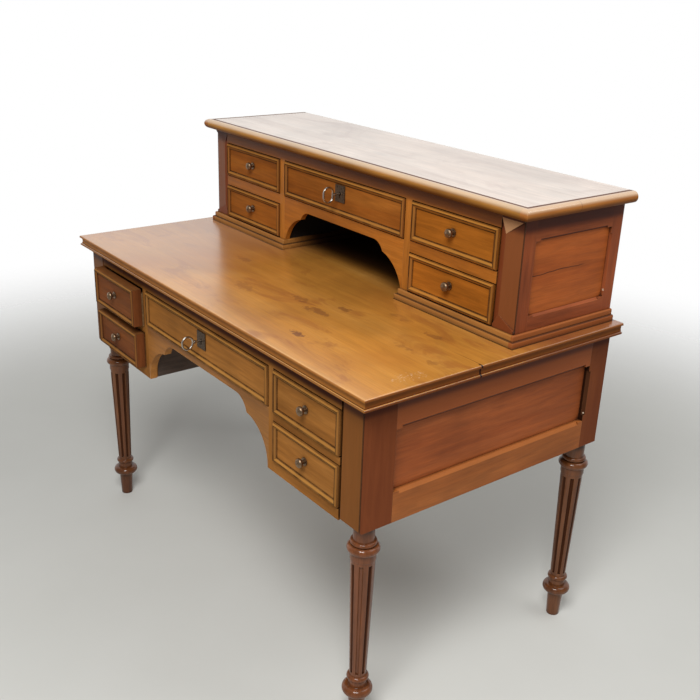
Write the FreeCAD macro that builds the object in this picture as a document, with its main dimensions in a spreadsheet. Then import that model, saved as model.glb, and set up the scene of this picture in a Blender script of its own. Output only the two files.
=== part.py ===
import FreeCAD, Part
import math
import os
import Sketcher

# A desk with a kneehole and a raised gradin of small drawers. Millimetres, +Z up, +X to the
# right of someone facing it, front towards -Y, origin on the floor under the middle of the whole.

doc = FreeCAD.newDocument("BonheurDuJour")
sheet = doc.addObject("Spreadsheet::Sheet", "Sizes")
nodes = []


class Length:
    """A length in mm with its value and the sheet expression that gives it."""

    def __init__(self, value, text):
        self.value = float(value)
        self.text = text

    def __add__(self, other):
        other = as_length(other)
        return Length(self.value + other.value, f"({self.text} + {other.text})")

    def __radd__(self, other):
        return as_length(other) + self

    def __sub__(self, other):
        other = as_length(other)
        return Length(self.value - other.value, f"({self.text} - {other.text})")

    def __rsub__(self, other):
        return as_length(other) - self

    def __mul__(self, other):
        other = as_length(other)
        return Length(self.value * other.value, f"({self.text} * {other.text})")

    def __truediv__(self, other):
        other = as_length(other)
        return Length(self.value / other.value, f"({self.text} / {other.text})")

    def __neg__(self):
        return Length(-self.value, f"(-1 * {self.text})")


ZERO = Length(0, "0")


def as_length(item):
    return item if isinstance(item, Length) else Length(item, str(item))


used_rows = []


def size(name, value, note):
    """Write one driving dimension in the sheet and return it."""
    used_rows.append(name)
    row = len(used_rows)
    sheet.set(f"A{row}", name)
    sheet.set(f"B{row}", str(value))
    sheet.setAlias(f"B{row}", name)
    sheet.set(f"C{row}", note)
    return Length(value, f"Sizes.{name}")


# Desk: overall sizes
slab_width = size("slab_width", 1216, "writing surface, side to side")
slab_depth = size("slab_depth", 700, "writing surface, front to back")
slab_thickness = size("slab_thickness", 26, "writing surface")
desk_height = size("desk_height", 765, "floor to writing surface")
side_overhang = size("side_overhang", 28, "slab past the carcass at each side")
front_overhang = size("front_overhang", 23, "slab past the carcass in front")
back_overhang = size("back_overhang", 2, "slab past the carcass behind")
body_height = size("body_height", 267, "carcass below the slab")

# Desk: moulded edge of the slab
edge_bead = size("edge_bead", 6, "height of the lower bead")
edge_bead_set = size("edge_bead_set", 1, "bead back from the slab's outline")
edge_hollow = size("edge_hollow", 17, "radius of the hollow between bead and nose")
edge_undercut = size("edge_undercut", 3.4, "underside of the nose")
edge_lip = size("edge_lip", 1.5, "upright face under the round of the nose")
edge_nose = size("edge_nose", 3.5, "radius of the nose along the top")

# Desk: frame
post_width = size("post_width", 65, "corner posts, seen from the front")
front_post_depth = size("front_post_depth", 78, "front posts, seen from the side")
back_post_width = size("back_post_width", 54, "back posts, seen from behind")
back_post_depth = size("back_post_depth", 56, "back posts, seen from the side")
back_leg_set = size("back_leg_set", 31, "back legs' axis in from the back of the carcass")
post_bevel = size("post_bevel", 6, "bevel on the inner and lower edge of a front post")
frame_thickness = size("frame_thickness", 22, "front rails and stiles")
top_rail = size("top_rail", 34, "height of the rail over the drawers")
mid_rail = size("mid_rail", 16, "height of the rail between drawers")
bottom_rail = size("bottom_rail", 24, "height of the rail under the drawers")
stile_width = size("stile_width", 17, "stiles at the kneehole")
kneehole_width = size("kneehole_width", 546, "between the stiles")
low_opening = size("low_opening", 94, "height of the lower drawer openings")
centre_opening = size("centre_opening", 92, "height of the centre drawer opening")
wall_thickness = size("wall_thickness", 18, "kneehole walls")
side_thickness = size("side_thickness", 24, "side rails")
side_top_rail = size("side_top_rail", 69, "height of the upper side rail")
side_bottom_rail = size("side_bottom_rail", 66, "height of the lower side rail")
side_chamfer = size("side_chamfer", 6, "stopped chamfers round the desk's side panels")
chamfer_stop = size("chamfer_stop", 14, "corner to the end of a stopped chamfer")
chamfer_past = size("chamfer_past", 1, "chamfering wedges past the faces that they cut")
panel_sink = size("panel_sink", 12, "side panels below the face of the rails")
panel_thickness = size("panel_thickness", 8, "side panels")
back_set = size("back_set", 5, "back boards in from the back")
back_thickness = size("back_thickness", 12, "back boards")
runner_width = size("runner_width", 25, "drawer runners")
runner_height = size("runner_height", 14, "drawer runners")

# Desk: scalloped apron
apron_thickness = size("apron_thickness", 18, "kneehole apron")
apron_rail = size("apron_rail", 15, "height of the apron's straight part")
bracket_foot = size("bracket_foot", 4, "width of a bracket at its foot")
bracket_cusp_in = size("bracket_cusp_in", 86, "stile to the cusp")
bracket_cusp_down = size("bracket_cusp_down", 32, "straight edge to the cusp")
bracket_end_in = size("bracket_end_in", 128, "stile to the end of the upper arc")
bracket_low_bulge = size("bracket_low_bulge", 25, "depth of the lower arc")
bracket_high_bulge = size("bracket_high_bulge", 8.3, "depth of the upper arc")

# Turned legs, from the floor up
peg_height = size("peg_height", 66, "peg foot")
peg_bottom_radius = size("peg_bottom_radius", 15, "peg foot at the floor")
peg_top_radius = size("peg_top_radius", 18.5, "peg foot under the ring")
foot_ring_radius = size("foot_ring_radius", 32, "large ring, to its outside")
foot_ring_bead = size("foot_ring_bead", 10.5, "large ring's half height")
foot_neck_radius = size("foot_neck_radius", 19, "neck between the rings")
foot_neck_height = size("foot_neck_height", 14, "neck between the rings")
ankle_ring_radius = size("ankle_ring_radius", 23, "small ring, to its outside")
ankle_ring_bead = size("ankle_ring_bead", 6, "small ring's half height")
shaft_bottom_radius = size("shaft_bottom_radius", 17.5, "shaft over the small ring")
shaft_top_radius = size("shaft_top_radius", 25, "shaft under the collar")
band_height = size("band_height", 15, "plain band over the flutes")
band_step = size("band_step", 1.2, "band past the shaft")
collar_radius = size("collar_radius", 33, "collar, to its outside")
collar_bead = size("collar_bead", 9, "collar's half height")
collar_top_radius = size("collar_top_radius", 27, "bead over the collar, to its outside")
collar_top_bead = size("collar_top_bead", 5, "that bead's half height")
leg_neck_radius = size("leg_neck_radius", 21.5, "neck under the post")
leg_neck_height = size("leg_neck_height", 36, "neck under the post")
flute_radius = size("flute_radius", 4.6, "cutter at the top of a flute")
flute_low_radius = size("flute_low_radius", 3.3, "cutter at the bottom of a flute")
flute_stop = size("flute_stop", 8, "plain wood past each end of a flute")
flute_lift = size("flute_lift", 0.5, "cutter's axis outside the shaft")
leg_embed = size("leg_embed", 4, "turned part's tenon in the post")
FLUTES = 8

# Gradin: carcass
gradin_set = size("gradin_set", 397, "slab's front edge to the gradin's face")
gradin_inset = size("gradin_inset", 37, "slab's side edge to the gradin's side")
gradin_back_set = size("gradin_back_set", 5, "gradin's carcass in from the slab's back edge")
gradin_height = size("gradin_height", 256, "gradin's carcass under its top")
gradin_post_width = size("gradin_post_width", 58, "corner posts, seen from the front")
gradin_post_depth = size("gradin_post_depth", 38, "corner posts, seen from the side")
cant_ridge = size("cant_ridge", 44, "outer corner to the ridge of the cants")
cant_depth = size("cant_depth", 4, "outer cant at the corner")
cant_inner_depth = size("cant_inner_depth", 3, "inner cant at the drawer side")
cant_stop_top = size("cant_stop_top", 38, "stop of the cants under the top")
cant_stop_bottom = size("cant_stop_bottom", 30, "stop of the cants over the plinth")
cant_end = size("cant_end", 6, "square wood past the stops")
gradin_frame = size("gradin_frame", 18, "thickness of front rails and stiles")
gradin_top_rail = size("gradin_top_rail", 29, "height of the rail over the drawers")
gradin_mid_rail = size("gradin_mid_rail", 25, "height of the rail between drawers")
gradin_low_opening = size("gradin_low_opening", 89, "height of the lower drawer openings")
gradin_centre_opening = size("gradin_centre_opening", 91, "height of the centre drawer opening")
gradin_stile = size("gradin_stile", 20, "stiles at the pigeonhole")
pigeonhole_width = size("pigeonhole_width", 466, "between the stiles")
gradin_wall = size("gradin_wall", 14, "pigeonhole walls")
gradin_side = size("gradin_side", 20, "thickness of side rails and rear stiles")
gradin_rear_stile = size("gradin_rear_stile", 32, "width of the rear stiles")
gradin_side_top = size("gradin_side_top", 49, "height of the upper side rail")
gradin_side_bottom = size("gradin_side_bottom", 56, "height of the lower side rail")
gradin_chamfer = size("gradin_chamfer", 4.5, "stopped chamfers round the gradin's side panels")
gradin_panel_sink = size("gradin_panel_sink", 6, "side panels below the face of the rails")
gradin_panel = size("gradin_panel", 8, "thickness of the side panels")
gradin_back = size("gradin_back", 8, "thickness of the back board")
gradin_back_in = size("gradin_back_in", 4, "back board in from the back")
dust_board = size("dust_board", 8, "boards under the gradin's drawers")

# Gradin: mouldings and apron
gradin_top = size("gradin_top", 24, "thickness of the top and of its moulding")
moulding_width = size("moulding_width", 20, "bullnose past the top board")
top_board_past = size("top_board_past", 6, "top board past the carcass at the sides")
top_board_front = size("top_board_front", 3, "top board past the carcass in front")
top_quirk = size("top_quirk", 2, "bevel that marks the top board's outline")
plinth_height = size("plinth_height", 24, "stepped moulding round the foot")
plinth_out = size("plinth_out", 11, "lower step past the carcass")
plinth_step = size("plinth_step", 5.5, "upper step past the carcass")
plinth_round = size("plinth_round", 3, "round on each step")
arch_thickness = size("arch_thickness", 14, "pigeonhole apron")
arch_rail = size("arch_rail", 23, "height of its straight part")
arch_foot = size("arch_foot", 4, "width of a bracket at its foot")
arch_cusp_in = size("arch_cusp_in", 72, "stile to the cusp")
arch_cusp_down = size("arch_cusp_down", 22, "straight edge to the cusp")
arch_end_in = size("arch_end_in", 104, "stile to the end of the upper arc")
arch_low_bulge = size("arch_low_bulge", 13, "depth of the lower arc")
arch_high_bulge = size("arch_high_bulge", 5.7, "depth of the upper arc")

# Drawers
front_gap = size("front_gap", 2, "drawer front to its opening")
slide_gap = size("slide_gap", 0.3, "drawer sides over their runners")
front_thickness = size("front_thickness", 20, "desk drawer fronts, at the field")
gradin_front_thickness = size("gradin_front_thickness", 18, "gradin drawer fronts, at the field")
rim_proud = size("rim_proud", 6, "ridge of the moulded rim past the frame")
rim_bevel = size("rim_bevel", 4, "outer slope of the rim")
rim_ridge = size("rim_ridge", 1.5, "flat ridge of the rim")
rim_slope = size("rim_slope", 6, "inner slope of the rim, along the front")
rim_slope_depth = size("rim_slope_depth", 4.5, "inner slope of the rim, into the front")
rim_quirk = size("rim_quirk", 1, "step between the inner slope and the field")
box_set = size("box_set", 1, "drawer box in from the front's ends")
box_drop = size("box_drop", 12, "drawer sides below the front's top")
box_side = size("box_side", 10, "thickness of drawer sides and backs")
box_bottom = size("box_bottom", 6, "thickness of drawer bottoms")
box_bottom_up = size("box_bottom_up", 6, "drawer bottom over the sides' lower edge")
box_back_gap = size("box_back_gap", 110, "shut desk drawers to the back boards")
gradin_box_gap = size("gradin_box_gap", 15, "shut gradin drawers to the back board")
upper_ajar = size("upper_ajar", 24, "left upper drawer stands open")
lower_ajar = size("lower_ajar", 20, "left lower drawer stands open")

# Knobs
knob_raise = size("knob_raise", 4, "knob over the middle of its drawer")
knob_plate_radius = size("knob_plate_radius", 8.5, "knob's foot")
knob_plate = size("knob_plate", 2, "thickness of the knob's foot")
knob_neck_radius = size("knob_neck_radius", 4, "knob's neck")
knob_neck = size("knob_neck", 6, "length of the knob's neck")
knob_head_radius = size("knob_head_radius", 10, "knob's head")
knob_bead = size("knob_bead", 5, "half thickness of the knob's head")
knob_crown = size("knob_crown", 2, "low point in front of the head")

# Locks and keys
lock_raise = size("lock_raise", 8, "lock over the middle of its drawer")
plate_width = size("plate_width", 36, "lock plate")
plate_height = size("plate_height", 40, "lock plate")
plate_thickness = size("plate_thickness", 2, "lock plate")
shank_radius = size("shank_radius", 2.5, "key's shank")
key_bore_gap = size("key_bore_gap", 1, "bores round the shank")
keyhole_slot = size("keyhole_slot", 10, "keyhole below its round part")
keyhole_slot_width = size("keyhole_slot_width", 4, "keyhole's narrow part")
bow_reach = size("bow_reach", 35, "drawer's field to the middle of the bow")
bow_radius = size("bow_radius", 15, "rounded ends of the bow's oval ring, to the outside")
desk_bow = size("desk_bow", 33, "height of the bow on the desk's key")
gradin_bow = size("gradin_bow", 40, "height of the bow on the gradin's key")
bow_wire = size("bow_wire", 2.2, "half thickness of the bow's wire")
bow_round = size("bow_round", 1.7, "round on the edges of the bow's wire")
key_collar = size("key_collar", 4, "radius of the collar on the shank")
key_collar_length = size("key_collar_length", 4, "collar on the shank")
bit_length = size("bit_length", 4, "key's bit along the shank")
bit_width = size("bit_width", 3, "thickness of the key's bit")
bit_reach = size("bit_reach", 8.5, "axis to the end of the bit")
chamber_gap = size("chamber_gap", 1.5, "chamber past the end of the bit")
lock_width = size("lock_width", 44, "lock case")
lock_depth = size("lock_depth", 12, "lock case in the back of the front")
lock_below = size("lock_below", 16, "lock case under the key's axis")
lock_above = size("lock_above", 26, "lock case over the key's axis")
lock_floor = size("lock_floor", 3, "lock case in front of the chamber")
bolt_width = size("bolt_width", 16, "bolt")
bolt_thickness = size("bolt_thickness", 5, "bolt")
bolt_below = size("bolt_below", 1, "bolt under the front's top edge at rest")
bolt_gap = size("bolt_gap", 0.4, "bolt's slot round the bolt")
bolt_throw = size("bolt_throw", 9, "how far the key lifts the bolt")
bolt_end_gap = size("bolt_end_gap", 2, "mortise past the thrown bolt")

# Levels and faces
slab_bottom = desk_height - slab_thickness
body_bottom = slab_bottom - body_height
body_half = slab_width / 2 - side_overhang
key_reach = bow_reach + bow_radius
slab_front = (key_reach - front_overhang - slab_depth) / 2
slab_back = slab_front + slab_depth
front_y = slab_front + front_overhang
back_y = slab_back - back_overhang
post_in = body_half - post_width
back_post_in = body_half - back_post_width
frame_back = front_y + frame_thickness
post_back = front_y + front_post_depth
rear_post = back_y - back_post_depth
kneehole_half = kneehole_width / 2
stile_out = kneehole_half + stile_width
wall_out = kneehole_half + wall_thickness
drawers_top = slab_bottom - top_rail
low_floor = body_bottom + bottom_rail
mid_under = low_floor + low_opening
mid_floor = mid_under + mid_rail
centre_floor = drawers_top - centre_opening
back_board_y = back_y - back_set - back_thickness
box_depth = back_board_y - box_back_gap - front_y - front_thickness

gradin_half = slab_width / 2 - gradin_inset
gradin_y = slab_front + gradin_set
gradin_back_y = slab_back - gradin_back_set
gradin_roof = desk_height + gradin_height
gradin_frame_back = gradin_y + gradin_frame
gradin_post_in = gradin_half - gradin_post_width
gradin_post_back = gradin_y + gradin_post_depth
gradin_side_in = gradin_half - gradin_side
gradin_rear_y = gradin_back_y - gradin_rear_stile
gradin_board_y = gradin_back_y - gradin_back_in - gradin_back
gradin_box_depth = gradin_board_y - gradin_box_gap - gradin_y - gradin_front_thickness
pigeonhole_half = pigeonhole_width / 2
gradin_stile_out = pigeonhole_half + gradin_stile
gradin_wall_out = pigeonhole_half + gradin_wall
plinth_top = desk_height + plinth_height
gradin_drawers_top = gradin_roof - gradin_top_rail
gradin_mid_under = plinth_top + gradin_low_opening
gradin_mid_floor = gradin_mid_under + gradin_mid_rail
gradin_centre_floor = gradin_drawers_top - gradin_centre_opening

SIDES = {"left": -1, "right": 1}


def across(side, near, far):
    """The span from near to far, counted outwards from the middle on one side."""
    return (near, far) if side > 0 else (-far, -near)


def node(thing):
    """Mark an object of the document as a sub-part that gets its own file."""
    nodes.append(thing)
    return thing


def board(label, x, y, z):
    """A plain rectangular board from spans along X, Y and Z."""
    box = doc.addObject("Part::Box", label)
    box.Label = label
    for name, span in zip(("Length", "Width", "Height"), (x, y, z)):
        box.setExpression(name, (span[1] - span[0]).text)
    for axis, span in zip("xyz", (x, y, z)):
        box.setExpression(f"Placement.Base.{axis}", span[0].text)
    return box


def place(thing, x, y, z, rotation=None):
    if rotation:
        thing.Placement = FreeCAD.Placement(FreeCAD.Vector(), rotation)
    for axis, value in zip("xyz", (x, y, z)):
        thing.setExpression(f"Placement.Base.{axis}", value.text)
    return thing


TO_FRONT = FreeCAD.Rotation(FreeCAD.Vector(1, 0, 0), 90)


def rod(label, x, y, z, radius):
    """A round bar along Y."""
    bar = doc.addObject("Part::Cylinder", label)
    bar.setExpression("Radius", radius.text)
    bar.setExpression("Height", (y[1] - y[0]).text)
    return place(bar, x, y[1], z, TO_FRONT)


def group(label, pieces):
    """One node that holds several separate solids."""
    whole = doc.addObject("Part::Compound", label)
    whole.Label = label
    whole.Links = pieces
    return whole


def cut(label, base, tools):
    tool = tools[0]
    if len(tools) > 1:
        tool = fuse(f"{label}_tools", tools)
    result = doc.addObject("Part::Cut", label)
    result.Label = label
    result.Base = base
    result.Tool = tool
    return result


def fuse(label, pieces):
    result = doc.addObject("Part::MultiFuse", label)
    result.Label = label
    result.Shapes = pieces
    return result


def common(label, first, second):
    result = doc.addObject("Part::Common", label)
    result.Label = label
    result.Base = first
    result.Tool = second
    return result


def mirrored(label, source):
    """The left-hand copy of a right-hand piece."""
    copy = doc.addObject("Part::Mirroring", label)
    copy.Label = label
    copy.Source = source
    copy.Base = FreeCAD.Vector(0, 0, 0)
    copy.Normal = FreeCAD.Vector(1, 0, 0)
    return copy


# Sketches. An outline is a list of corners, anticlockwise. A corner is (u, v), reached by a line,
# or (u, v, radius), reached by an arc that bulges out of the solid, or into it if radius is negative.


def arc_between(start, end, radius):
    """The arc from start to end, its centre to the left of the way there if radius is positive."""
    chord = end - start
    middle = (start + end) * 0.5
    left = FreeCAD.Vector(-chord.y, chord.x, 0).normalize()
    reach = math.sqrt(max(radius * radius - chord.Length * chord.Length / 4, 0))
    centre = middle + left * math.copysign(reach, radius)
    top = centre - left * radius
    return Part.Arc(start, top, end)


def draw(sketch, outline):
    """Draw a closed outline and bind each corner and radius to the sheet."""
    points = [FreeCAD.Vector(corner[0].value, corner[1].value, 0) for corner in outline]
    ends = []
    radii = {}
    count = len(outline)
    for index in range(count):
        after = (index + 1) % count
        start, end = points[index], points[after]
        if len(outline[after]) == 3:
            radius = outline[after][2]
            sketch.addGeometry(arc_between(start, end, radius.value))
            radii[index] = radius
            ends.append((1, 2) if radius.value > 0 else (2, 1))
        else:
            sketch.addGeometry(Part.LineSegment(start, end))
            ends.append((1, 2))
    rules = []
    texts = {}
    for index in range(count):
        after = (index + 1) % count
        rules.append(Sketcher.Constraint("Coincident", index, ends[index][1], after, ends[after][0]))
    for index, corner in enumerate(outline):
        for kind, value in (("DistanceX", corner[0]), ("DistanceY", corner[1])):
            texts[len(rules)] = value.text
            rules.append(Sketcher.Constraint(kind, -1, 1, index, ends[index][0], value.value))
    for index, radius in radii.items():
        outward = radius if radius.value > 0 else -radius
        texts[len(rules)] = outward.text
        rules.append(Sketcher.Constraint("Radius", index, outward.value))
    sketch.addConstraint(rules)
    for index, text in texts.items():
        sketch.setExpression(f"Constraints[{index}]", text)


def draw_circle(sketch, u, v, radius):
    centre = FreeCAD.Vector(u.value, v.value, 0)
    sketch.addGeometry(Part.Circle(centre, FreeCAD.Vector(0, 0, 1), radius.value))
    sketch.addConstraint([
        Sketcher.Constraint("DistanceX", -1, 1, 0, 3, u.value),
        Sketcher.Constraint("DistanceY", -1, 1, 0, 3, v.value),
        Sketcher.Constraint("Radius", 0, radius.value),
    ])
    for index, value in enumerate((u, v, radius)):
        sketch.setExpression(f"Constraints[{index}]", value.text)


def sketch_on(body, plane, offset, name):
    """An empty sketch on one of the body's own origin planes, moved along its normal."""
    sketch = body.newObject("Sketcher::SketchObject", f"{body.Name}_{name}")
    origin = [item for item in body.Origin.OriginFeatures if item.Role == f"{plane}_Plane"]
    sketch.AttachmentSupport = [(origin[0], "")]
    sketch.MapMode = "FlatFace"
    sketch.setExpression("AttachmentOffset.Base.z", offset.text)
    return sketch


def new_body(label):
    body = doc.addObject("PartDesign::Body", label)
    body.Label = label
    return body


def padded(body, plane, outline, span, name):
    """Pad an outline along the plane's normal so that it fills the span."""
    towards_front = plane == "XZ"
    sketch = sketch_on(body, plane, -span[1] if towards_front else span[0], f"{name}_sketch")
    draw(sketch, outline)
    pad = body.newObject("PartDesign::Pad", f"{body.Name}_{name}")
    pad.Profile = sketch
    pad.setExpression("Length", (span[1] - span[0]).text)
    return pad


def prism(label, plane, outline, span):
    body = new_body(label)
    padded(body, plane, outline, span, "pad")
    return body


def pocketed(body, plane, outline, offset, depth, name):
    """Cut an outline into the body, against the plane's normal, from the given offset."""
    sketch = sketch_on(body, plane, offset, f"{name}_sketch")
    draw(sketch, outline)
    pocket = body.newObject("PartDesign::Pocket", f"{body.Name}_{name}")
    pocket.Profile = sketch
    pocket.setExpression("Length", depth.text)
    return pocket


def turned(body, outline, name):
    """Revolve a half outline, drawn as radius and height, round the body's Z axis."""
    sketch = sketch_on(body, "XZ", ZERO, f"{name}_sketch")
    draw(sketch, outline)
    revolution = body.newObject("PartDesign::Revolution", f"{body.Name}_{name}")
    revolution.Profile = sketch
    revolution.ReferenceAxis = (sketch, ["V_Axis"])
    revolution.Angle = 360
    return revolution


def rectangle(u, v):
    return [(u[0], v[0]), (u[1], v[0]), (u[1], v[1]), (u[0], v[1])]


def inset_rectangle(u, v, inset):
    return rectangle((u[0] + inset, u[1] - inset), (v[0] + inset, v[1] - inset))


def reversed_run(corners):
    """The same run of corners walked the other way, with each arc kept on its own stretch."""
    backwards = [corners[-1][:2]]
    for index in range(len(corners) - 2, -1, -1):
        backwards.append(corners[index][:2] + corners[index + 1][2:])
    return backwards


def right_edge(profile, outside, floor):
    """A moulding's profile, given as inset and height, on the side where u is largest."""
    return [(outside - corner[0], floor + corner[1]) + corner[2:] for corner in profile]


def left_edge(profile, outside, floor):
    """The same profile on the side where u is smallest, walked downwards."""
    return reversed_run([(outside + corner[0], floor + corner[1]) + corner[2:] for corner in profile])


# Desk top: one board whose moulded edge runs along the front and both sides


def make_desk_top():
    bead = edge_bead / 2
    nose_bottom = slab_thickness - edge_nose - edge_lip
    profile = [
        (edge_bead_set + bead, ZERO),
        (edge_bead_set, bead, bead),
        (edge_bead_set + bead, edge_bead, bead),
        (edge_undercut, nose_bottom, -edge_hollow),
        (ZERO, nose_bottom),
        (ZERO, slab_thickness - edge_nose),
        (edge_nose, slab_thickness, edge_nose),
    ]
    half = slab_width / 2
    from_front = right_edge(profile, half, slab_bottom) + left_edge(profile, -half, slab_bottom)
    from_side = [(slab_back, slab_bottom), (slab_back, desk_height)]
    from_side += left_edge(profile, slab_front, slab_bottom)
    lengthwise = prism("desk_top_section", "XZ", from_front, (slab_front, slab_back))
    crosswise = prism("desk_top_side_section", "YZ", from_side, (-half, half))
    node(common("desk_top", lengthwise, crosswise))


# Legs: a square post with a turned and fluted leg under it, in one piece


def leg_outline():
    """Half outline of the turned part, from the floor up, and the two ends of its shaft."""
    ring_in = foot_ring_radius - foot_ring_bead
    ring_top = peg_height + foot_ring_bead * 2
    ankle_bottom = ring_top + foot_neck_height
    ankle_in = ankle_ring_radius - ankle_ring_bead
    shaft_bottom = ankle_bottom + ankle_ring_bead * 2
    collar_in = collar_radius - collar_bead
    collar_top_in = collar_top_radius - collar_top_bead
    neck_bottom = body_bottom - leg_neck_height
    collar_top_bottom = neck_bottom - collar_top_bead * 2
    collar_bottom = collar_top_bottom - collar_bead * 2
    shaft_top = collar_bottom - band_height
    band = shaft_top_radius + band_step
    outline = [
        (ZERO, ZERO),
        (peg_bottom_radius, ZERO),
        (peg_top_radius, peg_height),
        (ring_in, peg_height),
        (foot_ring_radius, peg_height + foot_ring_bead, foot_ring_bead),
        (ring_in, ring_top, foot_ring_bead),
        (foot_neck_radius, ring_top),
        (foot_neck_radius, ankle_bottom),
        (ankle_in, ankle_bottom),
        (ankle_ring_radius, ankle_bottom + ankle_ring_bead, ankle_ring_bead),
        (ankle_in, shaft_bottom, ankle_ring_bead),
        (shaft_bottom_radius, shaft_bottom),
        (shaft_top_radius, shaft_top),
        (band, shaft_top),
        (band, collar_bottom),
        (collar_in, collar_bottom),
        (collar_radius, collar_bottom + collar_bead, collar_bead),
        (collar_in, collar_top_bottom, collar_bead),
        (collar_top_in, collar_top_bottom),
        (collar_top_radius, collar_top_bottom + collar_top_bead, collar_top_bead),
        (collar_top_in, neck_bottom, collar_top_bead),
        (leg_neck_radius, neck_bottom),
        (leg_neck_radius, body_bottom + leg_embed),
        (ZERO, body_bottom + leg_embed),
    ]
    return outline, shaft_bottom, shaft_top


def bevelled_post(side, y):
    """Plan of a front post, bevelled on the corner beside the drawers."""
    half = post_width / 2
    corners = [
        (half, y[0]),
        (half, y[1]),
        (-half, y[1]),
        (-half, y[0] + post_bevel),
        (post_bevel - half, y[0]),
    ]
    if side < 0:
        corners = [(-u, v) for u, v in reversed(corners)]
    return corners


def chamfer_outline(corner, out, back, width):
    """The section of a wedge that cuts a chamfer, from its corner and the two ways out of the wood."""
    u, v = corner
    past = chamfer_past
    return [
        (u + past * out, v + past * back),
        (u - (width + past) * out, v + past * back),
        (u + past * out, v - (width + past) * back),
    ]


def make_leg(label, side, axis_y, y, is_front):
    """A leg whose post reaches over the span y, counted from the axis of the turned part."""
    body = new_body(label)
    half = (post_width if is_front else back_post_width) / 2
    outline = bevelled_post(side, y) if is_front else rectangle((-half, half), y)
    padded(body, "XY", outline, (body_bottom, slab_bottom), "post")
    if is_front:
        low_edge = [(y[0], body_bottom), (y[0] + post_bevel, body_bottom), (y[0], body_bottom + post_bevel)]
        pocketed(body, "YZ", low_edge, half, post_width, "low_edge")
    else:
        wedge = chamfer_outline((half * side, y[0]), side, -1, side_chamfer)
        top = slab_bottom - side_top_rail - chamfer_stop
        drop = top - body_bottom - side_bottom_rail - chamfer_stop
        pocketed(body, "XY", wedge, top, drop, "chamfer")
    profile, shaft_bottom, shaft_top = leg_outline()
    turned(body, profile, "turning")

    low = shaft_bottom + flute_stop
    high = shaft_top - flute_stop
    high_sketch = sketch_on(body, "XY", high, "flute_top")
    draw_circle(high_sketch, shaft_top_radius + flute_lift, ZERO, flute_radius)
    low_sketch = sketch_on(body, "XY", low, "flute_bottom")
    draw_circle(low_sketch, shaft_bottom_radius + flute_lift, ZERO, flute_low_radius)
    flute = body.newObject("PartDesign::SubtractiveLoft", f"{label}_flute")
    flute.Profile = high_sketch
    flute.Sections = [low_sketch]
    flute.Ruled = True
    flutes = body.newObject("PartDesign::PolarPattern", f"{label}_flutes")
    flutes.Originals = [flute]
    flutes.Axis = (high_sketch, ["N_Axis"])
    flutes.Occurrences = FLUTES
    flutes.Angle = 360
    body.Tip = flutes
    axis_x = (body_half - half) * side
    return node(place(body, axis_x, axis_y, ZERO))


def make_legs():
    reach = front_post_depth / 2
    back_span = (back_leg_set - back_post_depth, back_leg_set)
    for hand, side in SIDES.items():
        make_leg(f"{hand}_front_leg", side, front_y + reach, (-reach, reach), True)
        make_leg(f"{hand}_back_leg", side, back_y - back_leg_set, back_span, False)


# Desk carcass


def chamfered_rail(label, side, x, y, z, at_top, width):
    """A side rail with a stopped chamfer along its outer upper or lower edge."""
    blank = board(f"{label}_blank", across(side, *x), y, z)
    corner = (x[1] * side, z[1] if at_top else z[0])
    outline = chamfer_outline(corner, side, 1 if at_top else -1, width)
    wedge = prism(f"{label}_wedge", "XZ", outline, (y[0] + chamfer_stop, y[1] - chamfer_stop))
    return cut(label, blank, [wedge])


def make_desk_sides():
    rail_y = (post_back, rear_post)
    upper = (slab_bottom - side_top_rail, slab_bottom)
    lower = (body_bottom, body_bottom + side_bottom_rail)
    panel_out = body_half - panel_sink
    for hand, side in SIDES.items():
        x = (body_half - side_thickness, body_half)
        rails = [
            chamfered_rail(f"desk_{hand}_upper_rail", side, x, rail_y, upper, False, side_chamfer),
            chamfered_rail(f"desk_{hand}_lower_rail", side, x, rail_y, lower, True, side_chamfer),
        ]
        node(group(f"desk_{hand}_side_rails", rails))
        panel_x = across(side, panel_out - panel_thickness, panel_out)
        node(board(f"desk_{hand}_side_panel", panel_x, rail_y, (lower[1], upper[0])))


def make_desk_front():
    y = (front_y, frame_back)
    whole_rail = board("desk_top_rail_blank", (-post_in, post_in), y, (drawers_top, slab_bottom))
    mortise = bolt_mortise("desk_mortise", front_y, front_thickness, drawers_top)
    pieces = [cut("desk_top_rail", whole_rail, [mortise])]
    for hand, side in SIDES.items():
        stile_x = across(side, kneehole_half, stile_out)
        bay_x = across(side, stile_out, post_in)
        pieces.append(board(f"desk_{hand}_stile", stile_x, y, (body_bottom, drawers_top)))
        pieces.append(board(f"desk_{hand}_mid_rail", bay_x, y, (mid_under, mid_floor)))
        pieces.append(board(f"desk_{hand}_bottom_rail", bay_x, y, (body_bottom, low_floor)))
    node(group("desk_front_frame", pieces))


def bulge_radius(run, rise, bulge):
    """The radius of an arc that covers a run and a rise and stands off its chord by the bulge."""
    return (run * run + rise * rise) / (bulge * 8) + bulge / 2


def apron_outline(half, top, straight, foot_level, foot, cusp_in, cusp_down, end_in, bulges):
    """A rail with a bracket of two arcs and a cusp at each end, anticlockwise from the lower right."""
    low_radius = bulge_radius(cusp_in - foot, straight - cusp_down - foot_level, bulges[0])
    high_radius = bulge_radius(end_in - cusp_in, cusp_down, bulges[1])
    right = [
        (half - end_in, straight),
        (half - cusp_in, straight - cusp_down, -high_radius),
        (half - foot, foot_level, -low_radius),
        (half, foot_level),
        (half, top),
    ]
    left = [
        (-half, top),
        (-half, foot_level),
        (foot - half, foot_level),
        (cusp_in - half, straight - cusp_down, -low_radius),
        (end_in - half, straight, -high_radius),
    ]
    return right + left


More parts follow.
